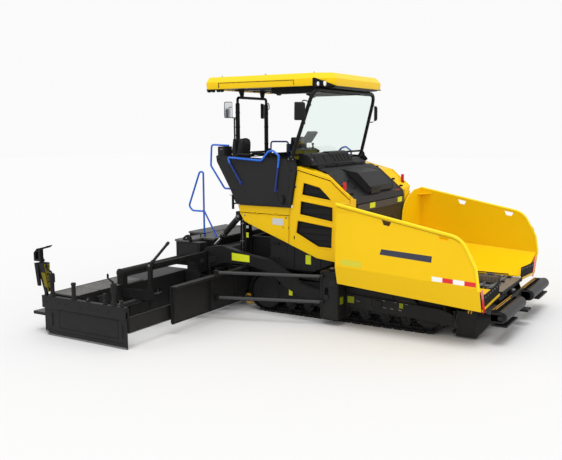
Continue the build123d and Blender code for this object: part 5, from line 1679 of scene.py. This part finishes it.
kb, kr = Kit(), Kit()
ram(kb, kr, (-620, 1540), (-1310, 850), -1150, 45, 25, 560, "y")
both_sides(kb, "lift_cylinder_fittings", "lift_barrel_{}", "dark_paint", bevel=0)
both_sides(kr, "lift_eye_cover", "lift_rod_{}", "dark_paint", bevel=0)
kb, kr = Kit(), Kit()
ram(kb, kr, (-960, 300), (-1500, 660), 3200, 42, 24, 560, "x", 20)
both_sides(kb, "wing_cylinder_fittings", "wing_barrel_{}", "dark_paint", bevel=0)
both_sides(kr, "wing_eye_cover", "wing_rod_{}", "dark_paint", bevel=0)

# ------------------------------------------------------------------ auger guards with their stay tubes
k = Kit()
k.head = "dark2"
k.box(-500, -482, -3165, -1240, 182, 724, "dark")
k.prism(rounded([(-500, 706), (-398, 706), (-398, 690), (-390, 690), (-390, 725), (-500, 725)], 4), "y", -3165, -1240, "dark")
k.box(-553, -480, -1240, -1090, 300, 630, "dark")
for y in (-1560, -2240, -3130):
    k.prism([(-482, 182), (-440, 182), (-440, 706), (-482, 706)], "y", y - 10, y + 10, "dark")
for z in (757, 360):
    k.cyl((1150, -1556, z), (-420, -2090, z), 24, "tube", 20)
    k.lathe((1152, -1556, z), (-1570, -534, 0), [(0, 31), (46, 31), (50, 25)], "dark", 20)
    k.box(-484, -400, -2120, -2060, z - 60, z + 30, "dark")
    k.bolt((-400, -2090, z), (1, 0, 0), 14)
    k.bolt((-440, -2122, z - 30), (0, -1, 0), 10)
# lower deflector lip and bolt rows on the outer face
k.prism([(-500, 182), (-482, 182), (-470, 160), (-478, 156), (-500, 172)], "y", -3160, -1245, "dark")
for y in range(-3060, -1300, 230):
    for z in (230, 660):
        k.bolt((-482, y, z), (1, 0, 0), 9)
k.mirror()
k.done("guard_plates", "chassis", "dark_paint", bevel=2, replaces=("auger_guards",))

# ------------------------------------------------------------------ auger gearcase and hangers
k = Kit()
k.head = "dark2"
k.prism(rounded([(-600, 560), (-550, 690), (-550, 1178), (-620, 1178), (-640, 700), (-700, 640), (-880, 480),
                 (-880, 330), (-820, 280), (-720, 280), (-660, 330)], [20, 20, 6, 6, 30, 30, 60, 50, 40, 40, 30], 5), "y", -108, 108, "dark")
for s in (-1, 1):
    k.lathe((-780, s * 108, 400), (0, s, 0), [(0, 92), (10, 92), (12, 60), (17, 58)], "dark", 28)
    for i in range(8):
        a = math.pi / 4 * i
        k.bolt((-780 + 78 * math.cos(a), s * 118, 400 + 78 * math.sin(a)), (0, s, 0), 8)
    k.prism(rounded([(-850, 345), (-715, 345), (-715, 640), (-555, 640), (-555, 700), (-850, 700)], [60, 60, 20, 6, 6, 20], 6), "y", s * 1190, s * 1216,
            "dark")
    k.box(-610, -555, s * 1190, s * 1080, 640, 700, "dark")
    for x in (-830, -735):
        for z in (440, 620):
            k.bolt((x, s * 1216, z), (0, s, 0), 9)
ob = k.done("auger_gearcase", "chassis", "dark_paint", bevel=3, replaces=("auger_supports",))
c = Kit()
for s in (-1, 1):
    c.cyl((-780, s * 1180, 400), (-780, s * 1226, 400), 42, "dark", 28, edge=0)
cut(ob, c)
# ------------------------------------------------------------------ centre screed
k = Kit()
k.head = "dark2"
# seams, hatches and handles on the deck box; front plate ribs; side frame
for s in (-1, 1):
    k.prism(rounded([(-1700, 700), (-1700, 1040), (-1290, 1040), (-1290, 700)], 18), "y", s * 1451, s * 1456, "dark2")
    for x, z in ((-1680, 720), (-1680, 1020), (-1310, 1020), (-1310, 720), (-1500, 1030)):
        k.bolt((x, s * 1456, z), (0, s, 0), 8)
    # outrigger's corner bracket with its clevis
    k.prism(rounded([(-1640, 1062), (-1450, 1062), (-1470, 1150), (-1540, 1196), (-1610, 1150)], 26), "y", s * 1425, s * 1439, "dark")
    k.prism(rounded([(-1640, 1062), (-1450, 1062), (-1470, 1150), (-1540, 1196), (-1610, 1150)], 26), "y", s * 1385, s * 1399, "dark")
    k.cyl((-1540, s * 1375, 1140), (-1540, s * 1449, 1140), 15, "zinc", 16)
    # collar round the guide tube's mouth
    k.lathe((-1620, s * 1448, 780), (0, s, 0), [(0, 71), (0, 92), (26, 92), (30, 88), (30, 71), (0, 71)], "dark", 32, caps=False)
    for i in range(6):
        a = math.pi / 3 * i
        k.bolt((-1620 + 82 * math.cos(a), s * 1478, 780 + 82 * math.sin(a)), (0, s, 0), 6)
# lower body: sole plate edge, tamper shield, heater sockets
k.prism([(-1046, 44), (-1076, 10), (-1070, 4), (-1040, 40)], "y", -1500, 1500, "steel")
for y in range(-1400, 1401, 280):
    k.box(-1050, -1040, y - 12, y + 12, 60, 280, "dark")
    k.bolt((-1050, y, 250 if abs(y) < 1300 else 200), (1, 0, 0), 9)
for y in (-1200, -700, -200, 300, 800, 1200):
    k.box(-1764, -1760, y - 140, y + 140, 720, 1000, "dark2")
    k.cyl((-1764, y + 120, 860), (-1776, y + 120, 860), 10, "zinc", 12)
for y in (-950, 950):
    k.tube([(-1560, y - 70, 1100), (-1560, y - 70, 1150), (-1560, y + 70, 1150), (-1560, y + 70, 1100)], 9, "black", 10, bend=20)
k.done("screed_details", "screed", "dark_paint", bevel=2)

k = Kit()
k.head = "dark2"
for s in (-1, 1):
    k.prism(rounded([(1481 * 1, 560), (1500, 560), (1500, 960), (1481, 960)], 4) if s > 0 else
            rounded([(-1500, 560), (-1481, 560), (-1481, 960), (-1500, 960)], 4), "x", -1180, -1055, "dark")
    # arm with a swept underside and two eyes
    arm = rounded([(1495, 957), (2930, 957), (2932, 884), (2500, 884), (2050, 872), (1800, 815), (1738, 640), (1495, 620)],
                  [10, 10, 10, 60, 200, 120, 20, 10], 6)
    k.prism([(s * y, z) for y, z in arm], "x", -1098, -1062, "dark")
    for y, z, r in ((1640, 800, 62), (2760, 921, 20), (2200, 921, 20)):
        k.lathe((-1062, s * y, z), (1, 0, 0), [(0, r), (7, r), (9, r - 4)], "dark2", 24)
        k.bolt((-1054, s * y, z), (1, 0, 0), r * .3)
    k.cyl((-1060, s * 2910, 921), (-1100, s * 2910, 921), 30, "dark", 24)
    for z in (600, 680, 900, 940):
        for x in (-1160, -1075):
            k.bolt((x, s * 1500, z), (0, s, 0), 9)
k.done("outrigger_arms", "screed", "dark_paint", bevel=2.5)

# chequered walkway plates with kick edges and hinged step
k = Kit()
k.head = "dark2"
k.box(-1785, -1490, -1450, 1450, 1070, 1098, "tread")
k.box(-1490, -1245, -1050, 1050, 1070, 1098, "tread")
for y0, y1 in ((-598, -204), (-196, 196), (204, 598)):
    k.box(-2150, -1764, y0, y1, 1082, 1108, "tread")
k.box(-1787, -1781, -1450, 1450, 1066, 1102, "dark")
k.box(-2152, -2146, -600, 600, 1078, 1112, "dark")
for y in (-900, -300, 300, 900):
    k.box(-1784, -1492, y - 2, y + 2, 1097, 1099.2, "black")
for y in (-1380, -700, 0, 700, 1380):
    for x in (-1760, -1520):
        k.bolt((x, y, 1098), (0, 0, 1), 7)
for y in (-575, 575):
    k.prism([(-1764, 902), (-1764, 1080), (-2128, 1080), (-2128, 1040)], "y", y - 14, y + 14, "dark")
k.box(-2130, -2102, -600, 600, 862, 1080, "dark")
k.box(-1782, -1764, -600, 600, 1000, 1082, "dark")
k.done("walkway_plates", "screed", "grey_walkway", bevel=2, replaces=("screed_walkway",))

# ------------------------------------------------------------------ extension (right side, mirrored for the left)
k = Kit()
k.head = "dark2"
sec = [(-1585, 60), (-1625, 4), (-2100, 4), (-2100, 585), (-1585, 585)]
# box body with its sole edge, front flange and stiffeners
k.prism([(-1585, 62), (-1590, 585), (-1578, 585), (-1572, 62)], "y", -3925, -1345, "dark")
k.prism(rounded([(-2108, 20), (-2100, 20), (-2100, 575), (-2108, 575)], 3), "y", -3920, -1350, "dark")
for y in (-1420, -1900, -2380, -2860, -3340, -3820):
    k.box(-2112, -2104, y - 10, y + 10, 30, 570, "dark")
    k.prism([(-1572, 90), (-1560, 90), (-1560, 540), (-1572, 575)], "y", y - 9, y + 9, "dark")
    k.bolt((-1572, y + 60, 500), (1, 0, 0), 9)
k.prism([(-1578, 62), (-1618, 4), (-1610, 0), (-1570, 56)], "y", -3925, -1345, "steel")
# inner face: pipe run in clamps and junction box
k.tube([(-1562, -3700, 330), (-1562, -2100, 330)], 13, "zinc", 12)
k.tube([(-1562, -3700, 370), (-1562, -2100, 370)], 9, "black", 10)
for y in (-3600, -3100, -2600, -2200):
    k.box(-1575, -1546, y - 14, y + 14, 308, 388, "zinc")
k.prism(rounded([(-3560, 430), (-3380, 430), (-3380, 540), (-3560, 540)], 12), "x", -1576, -1520, "dark2")
# guide tube: wiper ring and closed end
k.lathe((-1620, -2990, 780), (0, -1, 0), [(0, 70), (6, 76), (10, 76), (14, 66), (15, 20), (22, 18)], "dark", 32)
# post with its pivot pin, link plates and screws
k.prism(rounded([(-1046, 900), (-954, 900), (-954, 990), (-1000, 1024), (-1046, 990)], 16), "y", -3028, -3018, "dark")
k.prism(rounded([(-1046, 900), (-954, 900), (-954, 990), (-1000, 1024), (-1046, 990)], 16), "y", -2968, -2958, "dark")
k.cyl((-1000, -3040, 965), (-1000, -2946, 965), 20, "zinc", 20)
k.lathe((-1000, -2990, 985), Vector((-300, 772, 190)), [(20, 22), (40, 30), (90, 30), (96, 23)], "dark", 24)
k.lathe((-1300, -2218, 1175), Vector((300, -772, -190)), [(-4, 26), (60, 28), (66, 22)], "dark", 24)
k.prism(rounded([(-1590, 420), (-950, 420), (-950, 600), (-1030, 650), (-1120, 570), (-1590, 570)], [4, 20, 20, 20, 20, 4]), "y", -3014, -3010, "dark")
for x, z in ((-1540, 450), (-1400, 450), (-1250, 450), (-1100, 450), (-990, 470), (-990, 590)):
    k.bolt((x, -3014, z), (0, -1, 0), 10)
# bellows-like boot on the low adjusting tube and its clamp
for i in range(9):
    y = -2740 - 26 * i
    k.lathe((-1230, y, 400), (0, -1, 0), [(0, 30), (8, 40), (18, 40), (26, 30)], "rubber", 24)
k.box(-1592, -1196, -2752, -2710, 326, 474, "dark")
for x in (-1560, -1480, -1300, -1220):
    k.bolt((x, -2752, 350 if x < -1400 else 450), (0, -1, 0), 9)
# face plate with stiffeners
k.prism([(-3000, 222), (-3985, 222), (-3985, 438), (-3000, 438)], "x", -548, -543, "dark")
k.box(-566, -540, -3985, -3002, 430, 442, "dark")
k.box(-566, -541, -3985, -3002, 216, 226, "steel")
for y in (-3040, -3300, -3560, -3820):
    k.bolt((-543, y, 400), (1, 0, 0), 9)
    k.bolt((-543, y, 260), (1, 0, 0), 9)
both_sides(k, "extension_details", "extension_{}", "dark_paint", bevel=2)

# outer beam, spindle posts and cranks
k = Kit()
k.head = "dark2"
k.prism(rounded([(-2165, 410), (-546, 410), (-546, 585), (-2165, 585)], [6, 6, 6, 6]), "y", -4062, -4058, "dark")
k.prism([(-2167, 572), (-544, 572), (-544, 588), (-2167, 588)], "y", -4063, -3998, "dark")
for x in (-2080, -1830, -1700, -1400, -1250, -1060, -860):
    k.bolt((x, -4062, 500), (0, -1, 0), 11)
for x, top, r, crank in ((-1970, 925, 30, 1), (-1540, 830, 30, 0), (-940, 740, 20, 0), (-770, 900, 30, 1), (-630, 680, 18, 0)):
    k.lathe((x, -4030, 586), (0, 0, 1), [(0, r + 16), (16, r + 16), (20, r + 8), (60, r + 4), (64, r)], "dark", 24)
    k.lathe((x, -4030, top - 40), (0, 0, 1), [(0, r), (4, r + 6), (30, r + 6), (40, r), (43, r * .6)], "dark", 24)
    if crank:
        k.tube([(x, -4030, top + 2), (x, -4030, top + 22), (x - 100, -4030, top + 66), (x - 100, -4030, top + 128)], 8, "dark", 12, bend=16)
        k.lathe((x - 100, -4030, top + 62), (0, 0, 1), [(0, 9), (4, 15), (52, 15), (58, 10)], "rubber", 18)
        k.lathe((x, -4030, top - 130), (0, 0, 1), [(0, r + 13), (90, r + 13), (94, r + 4)], "dark", 24)
for x in (-1260, -800):
    k.prism(rounded([(x - 40, 586), (x + 40, 586), (x + 26, 640), (x - 26, 640)], 8), "y", -4036, -4024, "dark")
    k.cyl((x, -4044, 618), (x, -4016, 618), 9, "zinc", 12)
both_sides(k, "end_beam_details", "extension_{}", "dark_paint", bevel=1.5)

# operator's box with handle, display and switches
k = Kit()
k.head = "dark2"
k.loft([[(-2168, -4012, 640), (-2062, -4012, 640), (-2062, -3988, 640), (-2168, -3988, 640)],
        [(-2252, -4052, 1062), (-2112, -4052, 1062), (-2112, -3946, 1062), (-2252, -3946, 1062)]], "plastic")
# side panels in the darkened olive yellow: painted shade
k.loft([[(-2207, -4056, 1050), (-2112, -4056, 1050), (-2064, -4016, 640), (-2120, -4016, 640)],
        [(-2207, -4052, 1050), (-2112, -4052, 1050), (-2064, -4012, 640), (-2120, -4012, 640)]], "olive_shade")
k.loft([[(-2104, -4050, 1045), (-2104, -3950, 1045), (-2066, -3985, 700), (-2066, -4015, 700)],
        [(-2098, -4050, 1045), (-2098, -3950, 1045), (-2060, -3985, 700), (-2060, -4015, 700)]], "olive_shade")
k.hexa([(-2250, -4058, 720), (-2196, -4058, 720), (-2196, -4030, 720), (-2250, -4030, 720)],
       [(-2290, -4066, 1056), (-2216, -4066, 1056), (-2216, -4030, 1056), (-2290, -4030, 1056)], "black")
for i in range(5):
    z = 1010 - 55 * i
    x = -2099 + (1045 - z) * 0.11
    for dy in (-26, 0, 26):
        k.cyl((x, -4000 + dy * (1 - .12 * i), z), (x + 8, -4000 + dy * (1 - .12 * i), z), 9, "plastic_g" if (i + dy) % 2 else "black", 12)
k.cyl((-2110, -4020, 590), (-2110, -4020, 700), 22, "dark", 18)
# flat strap handle: forward, up, then bent over the box with a slot in its end
for z0, z1, x0, x1 in ((1078, 1108, -2330, -2170), (1108, 1200, -2330, -2292)):
    k.box(x0, x1, -4034, -3970, z0, z1, "black")
k.loft([[(-2330, -4034, 1200), (-2292, -4034, 1200), (-2292, -3970, 1200), (-2330, -3970, 1200)],
        [(-2262, -4034, 1262), (-2236, -4034, 1240), (-2236, -3970, 1240), (-2262, -3970, 1262)]], "black")
for y0, y1 in ((-4034, -4020), (-3984, -3970)):
    k.loft([[(-2262, y0, 1262), (-2236, y0, 1240), (-2236, y1, 1240), (-2262, y1, 1262)],
            [(-2030, y0, 1318), (-2026, y0, 1298), (-2026, y1, 1298), (-2030, y1, 1318)]], "black")
for x0, x1, z0, z1 in ((-2262, -2226, 1262, 1243), (-2060, -2026, 1316, 1296)):
    k.loft([[(x0, -4034, z0), (x1, -4034, z0 + 6), (x1, -4034, z1), (x0, -4034, z1)],
            [(x0, -3970, z0), (x1, -3970, z0 + 6), (x1, -3970, z1), (x0, -3970, z1)]], "black")
k.tube([(-2186, -4000, 1056), (-2190, -4000, 1084)], 16, "black", 12)
both_sides(k, "remote_box", "extension_{}", "cab_plastic", bevel=2)

# extension walkways
k = Kit()
k.head = "dark2"
k.box(-2104, -1587, -3926, -2962, 587, 607, "tread")
k.box(-2104, -1692, -2958, -2902, 587, 607, "tread")
k.box(-2104, -1587, -2898, -2502, 587, 607, "tread")
k.box(-2106, -2098, -3930, -2500, 583, 612, "dark")
k.box(-1591, -1585, -3930, -3005, 583, 612, "dark")
for y in (-3900, -3450, -3000 + 20, -2530):
    for x in (-2070, -1720 if y > -2990 and y < -2900 else -1620):
        k.bolt((x, y, 607), (0, 0, 1), 8, "black")
k.box(-2060, -1640, -3446, -3442, 606, 608.4, "black")
k.prism([(-2440, -3985), (-2170, -3985), (-2170, -3500), (-2400, -3500)], "z", 287, 305, "tread")
k.prism([(-2444, -3989), (-2166, -3989), (-2166, -3980), (-2444, -3980)], "z", 262, 307, "dark")
k.prism([(-2444, -3985), (-2434, -3985), (-2394, -3500), (-2404, -3500)], "z", 262, 307, "dark")
k.box(-2175, -2100, -3900, -3520, 285, 305, "dark")
for y in (-3860, -3580):
    k.prism([(-2104, 284), (-2104, 200), (-2118, 200), (-2300, 284)], "y", y - 8, y + 8, "dark")
both_sides(k, "extension_treads", "extension_{}", "grey_walkway", bevel=1.5, replaces=("extension_walkway_{}",))

# end plates: pressed frame, ski edge, guide straps
k = Kit()
k.head = "dark2"
o = rounded([(-2140, 60), (-2080, 10), (-2050, 0), (-548, 0), (-548, 435), (-2140, 435)], [20, 20, 30, 4, 4, 4], 4)
k.prism(o, "y", -4040, -4020, "dark")
k.prism([(-2136, 60), (-2078, 12), (-2050, 2), (-552, 2), (-552, 26), (-2046, 26), (-2100, 74)], "y", -4048, -4040, "steel")
for x0, x1, z0, z1 in ((-1850, -700, 388, 402), (-1850, -700, 128, 142)):
    k.prism([(x0, z0), (x1, z0), (x1, z1), (x0, z1)], "y", -4041.5, -4038, "black")
for x in (-1850, -714):
    k.prism([(x, 128), (x + 14, 128), (x + 14, 402), (x, 402)], "y", -4041.5, -4038, "black")
k.prism([(-2090, 96), (-1880, 70), (-600, 70), (-600, 82), (-1876, 82), (-2084, 108)], "y", -4041.5, -4038, "black")
for x in (-2000, -640):
    k.box(x - 22, x + 22, -4050, -4040, 150, 338, "dark")
    for z in (180, 310):
        k.bolt((x, -4050, z), (0, -1, 0), 9)
for x in (-1700, -1300, -900):
    k.bolt((x, -4040, 100), (0, -1, 0), 9)
    k.cyl((x, -4022, 300), (x, -4014, 300), 26, "dark2", 18)
both_sides(k, "end_plate_panel", "end_plate_{}", "dark_paint", bevel=1.5, replaces=("end_plate_{}",))

# ------------------------------------------------------------------ track cover plates
k = Kit()
k.head = "dark2"
pl = rounded([(1302, 279), (2836, 196), (2900, 200), (3090, 204), (3088, 343), (2898, 398), (1302, 468)], 10)
k.prism(pl, "y", -1271, -1268, "dark")
k.prism([(1300, 462), (2900, 392), (3088, 338), (3088, 346), (2900, 402), (1300, 472)], "y", -1282, -1260, "dark2")
for x, z in ((1607, 362), (2028, 434), (2207, 436), (2382, 428), (2041, 312), (2160, 306), (2290, 300)):
    z = min(z, 452 - (x - 1300) * 0.045)
    k.prism(rounded([(x - 30, z + 14), (x - 12, z + 2), (x + 26, z), (x + 26, z + 10), (x - 8, z + 12), (x - 24, z + 22)], 3), "y", -1274, -1270, "zinc")
k.prism([(1429, 431), (1540, 431), (1540, 330), (1429, 330)], "y", -1274.5, -1270, "decal_d")
k.prism([(2276, 418), (2338, 418), (2338, 340), (2276, 340)], "y", -1274.5, -1270, "decal_d")
k.prism(rounded([(1720, 440), (1830, 436), (1836, 330), (1900, 250), (1760, 262)], 20), "y", -1280, -1270, "dark2")
k.tube([(1900, -1284, 410), (1985, -1284, 406), (1998, -1284, 330), (1950, -1284, 300)], 12, "dark2", 12, bend=40)
k.mirror()
k.done("track_covers", "chassis", "dark_paint", bevel=1.5)

# ------------------------------------------------------------------ push beam and rollers
k = Kit()
k.head = "dark2"
k.box(3640, 3700, -1302, 1302, 480, 490, "dark")
for y in (-1240, -900, -500, 500, 900, 1240):
    k.box(3696, 3704, y - 30, y + 30, 330, 480, "dark")
    k.bolt((3704, y, 450), (1, 0, 0), 12)
for s in (-1, 1):
    for y0, y1 in ((200, 235), (1375, 1400)):
        o = rounded([(3662, 345), (3780, 330), (3830, 372), (3830, 442), (3790, 476), (3662, 470)], [4, 20, 26, 26, 20, 4])
        k.prism(o, "y", s * y0 - 2 * (1 if y0 < 300 else -1) * 0, s * y1, "dark")
        k.lathe((3790, s * (y1 + (0 if y0 > 300 else 0)), 407), (0, s, 0), [(0, 34), (8, 34), (10, 26)], "dark2", 20)
    # lower guard plate
    k.box(3645, 3862, s * 698, s * 1302, 260, 284, "dark")
# yellow wear strips on top of the beam
for y0, y1 in ((-1290, -260), (300, 1290)):
    k.box(3652, 3660, y0, y1, 489, 493, "decal_o")
    k.box(3684, 3692, y0 + 60, y1 - 160, 489, 493, "decal_o")
# tow hook under the tongue
k.lathe((3810, 0, 220), (0, 0, 1), [(0, 25.5), (0, 44), (40, 44), (40, 25.5), (0, 25.5)], "zinc", 28, caps=False)
k.done("push_beam_details", "push_beam", "dark_paint", bevel=2)

k = Kit()
k.head = "dark2"
k.lathe((3790, -248, 407), (0, -1, 0), [(0, 21), (0, 60), (4, 78), (12, 85), (1104, 85), (1112, 78), (1116, 60), (1116, 21), (0, 21)], "roller", 40, caps=False)
for y in (-252, -1360):
    s_ = 1 if y > -800 else -1
    for i in range(6):
        a = math.pi / 3 * i
        k.bolt((3790 + 48 * math.cos(a), y + s_ * 4, 407 + 48 * math.sin(a)), (0, s_, 0), 6)
both_sides(k, "push_roller_shell", "roller_{}", "worn_steel", replaces=("push_roller_{}",))

# ------------------------------------------------------------------ conveyor: floor plates, chains, slats
k = Kit()
k.head = "dark2"
for s in (-1, 1):
    for side in (120, 520):
        for i in range(50):
            x = -430 + 78 * i
            if x > 3520:
                break
            k.prism(rounded([(x, 602), (x + 62, 602), (x + 62, 626), (x, 626)], 8, 2), "y", s * (side - 14), s * (side + 14), "dark")
    for i in range(24):
        x = -440 + 165 * i
        k.prism(rounded([(x - 3, 600), (x + 43, 600), (x + 38, 627), (x + 2, 627)], 4, 2), "y", s * 78, s * 556, "steel")
        for y in (200, 440):
            k.bolt((x + 20, s * y, 627), (0, 0, 1), 8)
    k.box(1446, 3598, s * 596, s * 600, 560, 604, "dark")
    k.prism([(1450, 640), (3400, 640), (3400, 655), (1450, 655)], "y", s * 560, s * 575, "dark")
k.prism(rounded([(-48, 600), (48, 600), (40, 700), (0, 718), (-40, 700)], 8), "x", -448, 3402, "dark")
k.box(3598, 3610, -598, 598, 556, 604, "dark")
for y in (-500, -250, 250, 500):
    k.bolt((3610, y, 580), (1, 0, 0), 10)
k.done("conveyor_chains", "chassis", "worn_steel", bevel=1)

# ------------------------------------------------------------------ front of the hull: scraper posts, tongue, drums
k = Kit()
k.head = "dark2"
for s in (-1, 1):
    k.prism([(3128, 30), (3418, 30), (3418, 60), (3128, 60)], "y", s * 1228, s * 1196, "dark")
    k.prism([(3164, 60), (3174, 60), (3174, 398), (3164, 398)], "y", s * 1229, s * 1225, "dark2")
    for x in (3200, 3380):
        for z in (110, 340):
            k.bolt((x, s * 1225, z), (0, s, 0), 10)
    for i in range(2):
        k.loft([[(3290 + 40 * i, s * 1226, 380), (3306 + 40 * i, s * 1226, 380), (3326 + 40 * i, s * 1226, 462), (3310 + 40 * i, s * 1226, 462)],
                [(3290 + 40 * i, s * 1229, 380), (3306 + 40 * i, s * 1229, 380), (3326 + 40 * i, s * 1229, 462), (3310 + 40 * i, s * 1229, 462)]], "decal_o")
k.box(3380, 3392, -880, 880, 300, 560, "dark")
for y in range(-800, 801, 200):
    k.bolt((3392, y, 520), (1, 0, 0), 10)
    k.bolt((3392, y, 340), (1, 0, 0), 10)
k.lathe((3600, 0, 520), (0, 0, 1), [(0, 48), (10, 48), (14, 36), (24, 34)], "zinc", 24)
k.cyl((3600, 0, 544), (3600, 0, 548), 14, "black", 12)
k.done("front_details", "chassis", "dark_paint", bevel=2)
# ------------------------------------------------------------------ floor, light, camera
def area(name, loc, target, size, power, color=(1, 1, 1)):
    d = bpy.data.lights.new(name, "AREA")
    d.shape = "RECTANGLE"
    d.size, d.size_y = size
    d.energy = power
    d.color = color
    o = bpy.data.objects.new(name, d)
    o.location = loc
    o.rotation_euler = (Vector(target) - Vector(loc)).to_track_quat("-Z", "Y").to_euler()
    bpy.context.scene.collection.objects.link(o)
    return o


floor_me = bpy.data.meshes.new("floor")
S = 60
floor_me.from_pydata([(-S, -S, 0), (S, -S, 0), (S, S, 0), (-S, S, 0)], [], [(0, 1, 2, 3)])
floor = bpy.data.objects.new("floor", floor_me)
fm = Mat("studio_floor", (0.708, 0.708, 0.708, 1), 0.95, spec=0.0)
floor_me.materials.append(fm.m)
bpy.context.scene.collection.objects.link(floor)

world = bpy.data.worlds.new("studio")
bpy.context.scene.world = world
world.use_nodes = True
world.node_tree.nodes["Background"].inputs[0].default_value = (1.0, 1.0, 1.0, 1)
world.node_tree.nodes["Background"].inputs[1].default_value = 0.96

sun = bpy.data.lights.new("key", "SUN")
sun.energy = 1.35
sun.angle = math.radians(30)
sun_o = bpy.data.objects.new("key", sun)
sun_o.location = (1.5, -2.0, 10.5)
sun_o.rotation_euler = (Vector((0.3, 0.0, 1.0)) - Vector(sun_o.location)).to_track_quat("-Z", "Y").to_euler()
bpy.context.scene.collection.objects.link(sun_o)
area("side", (4.0, -13.0, 6.0), (0, 0, 1.5), (5, 3), 40)

CAM = dict(pos=(6.330217, -11.393564, 2.988407), az=31.0259, pitch=7.7845, roll=-0.2715, f=744.987)
a_, p_, r_ = (math.radians(CAM[k]) for k in ("az", "pitch", "roll"))
fwd = Vector((-math.sin(a_) * math.cos(p_), math.cos(a_) * math.cos(p_), -math.sin(p_)))
rgt = Vector((math.cos(a_), math.sin(a_), 0))
up = rgt.cross(fwd)
R = rgt * math.cos(r_) + up * math.sin(r_)
U = -rgt * math.sin(r_) + up * math.cos(r_)
cam_d = bpy.data.cameras.new("camera")
cam_d.sensor_width = 36
cam_d.lens = CAM["f"] * 36 / 562
cam_d.clip_end = 200
cam = bpy.data.objects.new("camera", cam_d)
loc = Vector(CAM["pos"]) - Vector((X_MID / 1000, 0, 0))
cam.matrix_world = Matrix(((R.x, U.x, -fwd.x, loc.x), (R.y, U.y, -fwd.y, loc.y), (R.z, U.z, -fwd.z, loc.z), (0, 0, 0, 1)))
bpy.context.scene.collection.objects.link(cam)
bpy.context.scene.camera = cam
bpy.context.scene.view_settings.view_transform = "Standard"
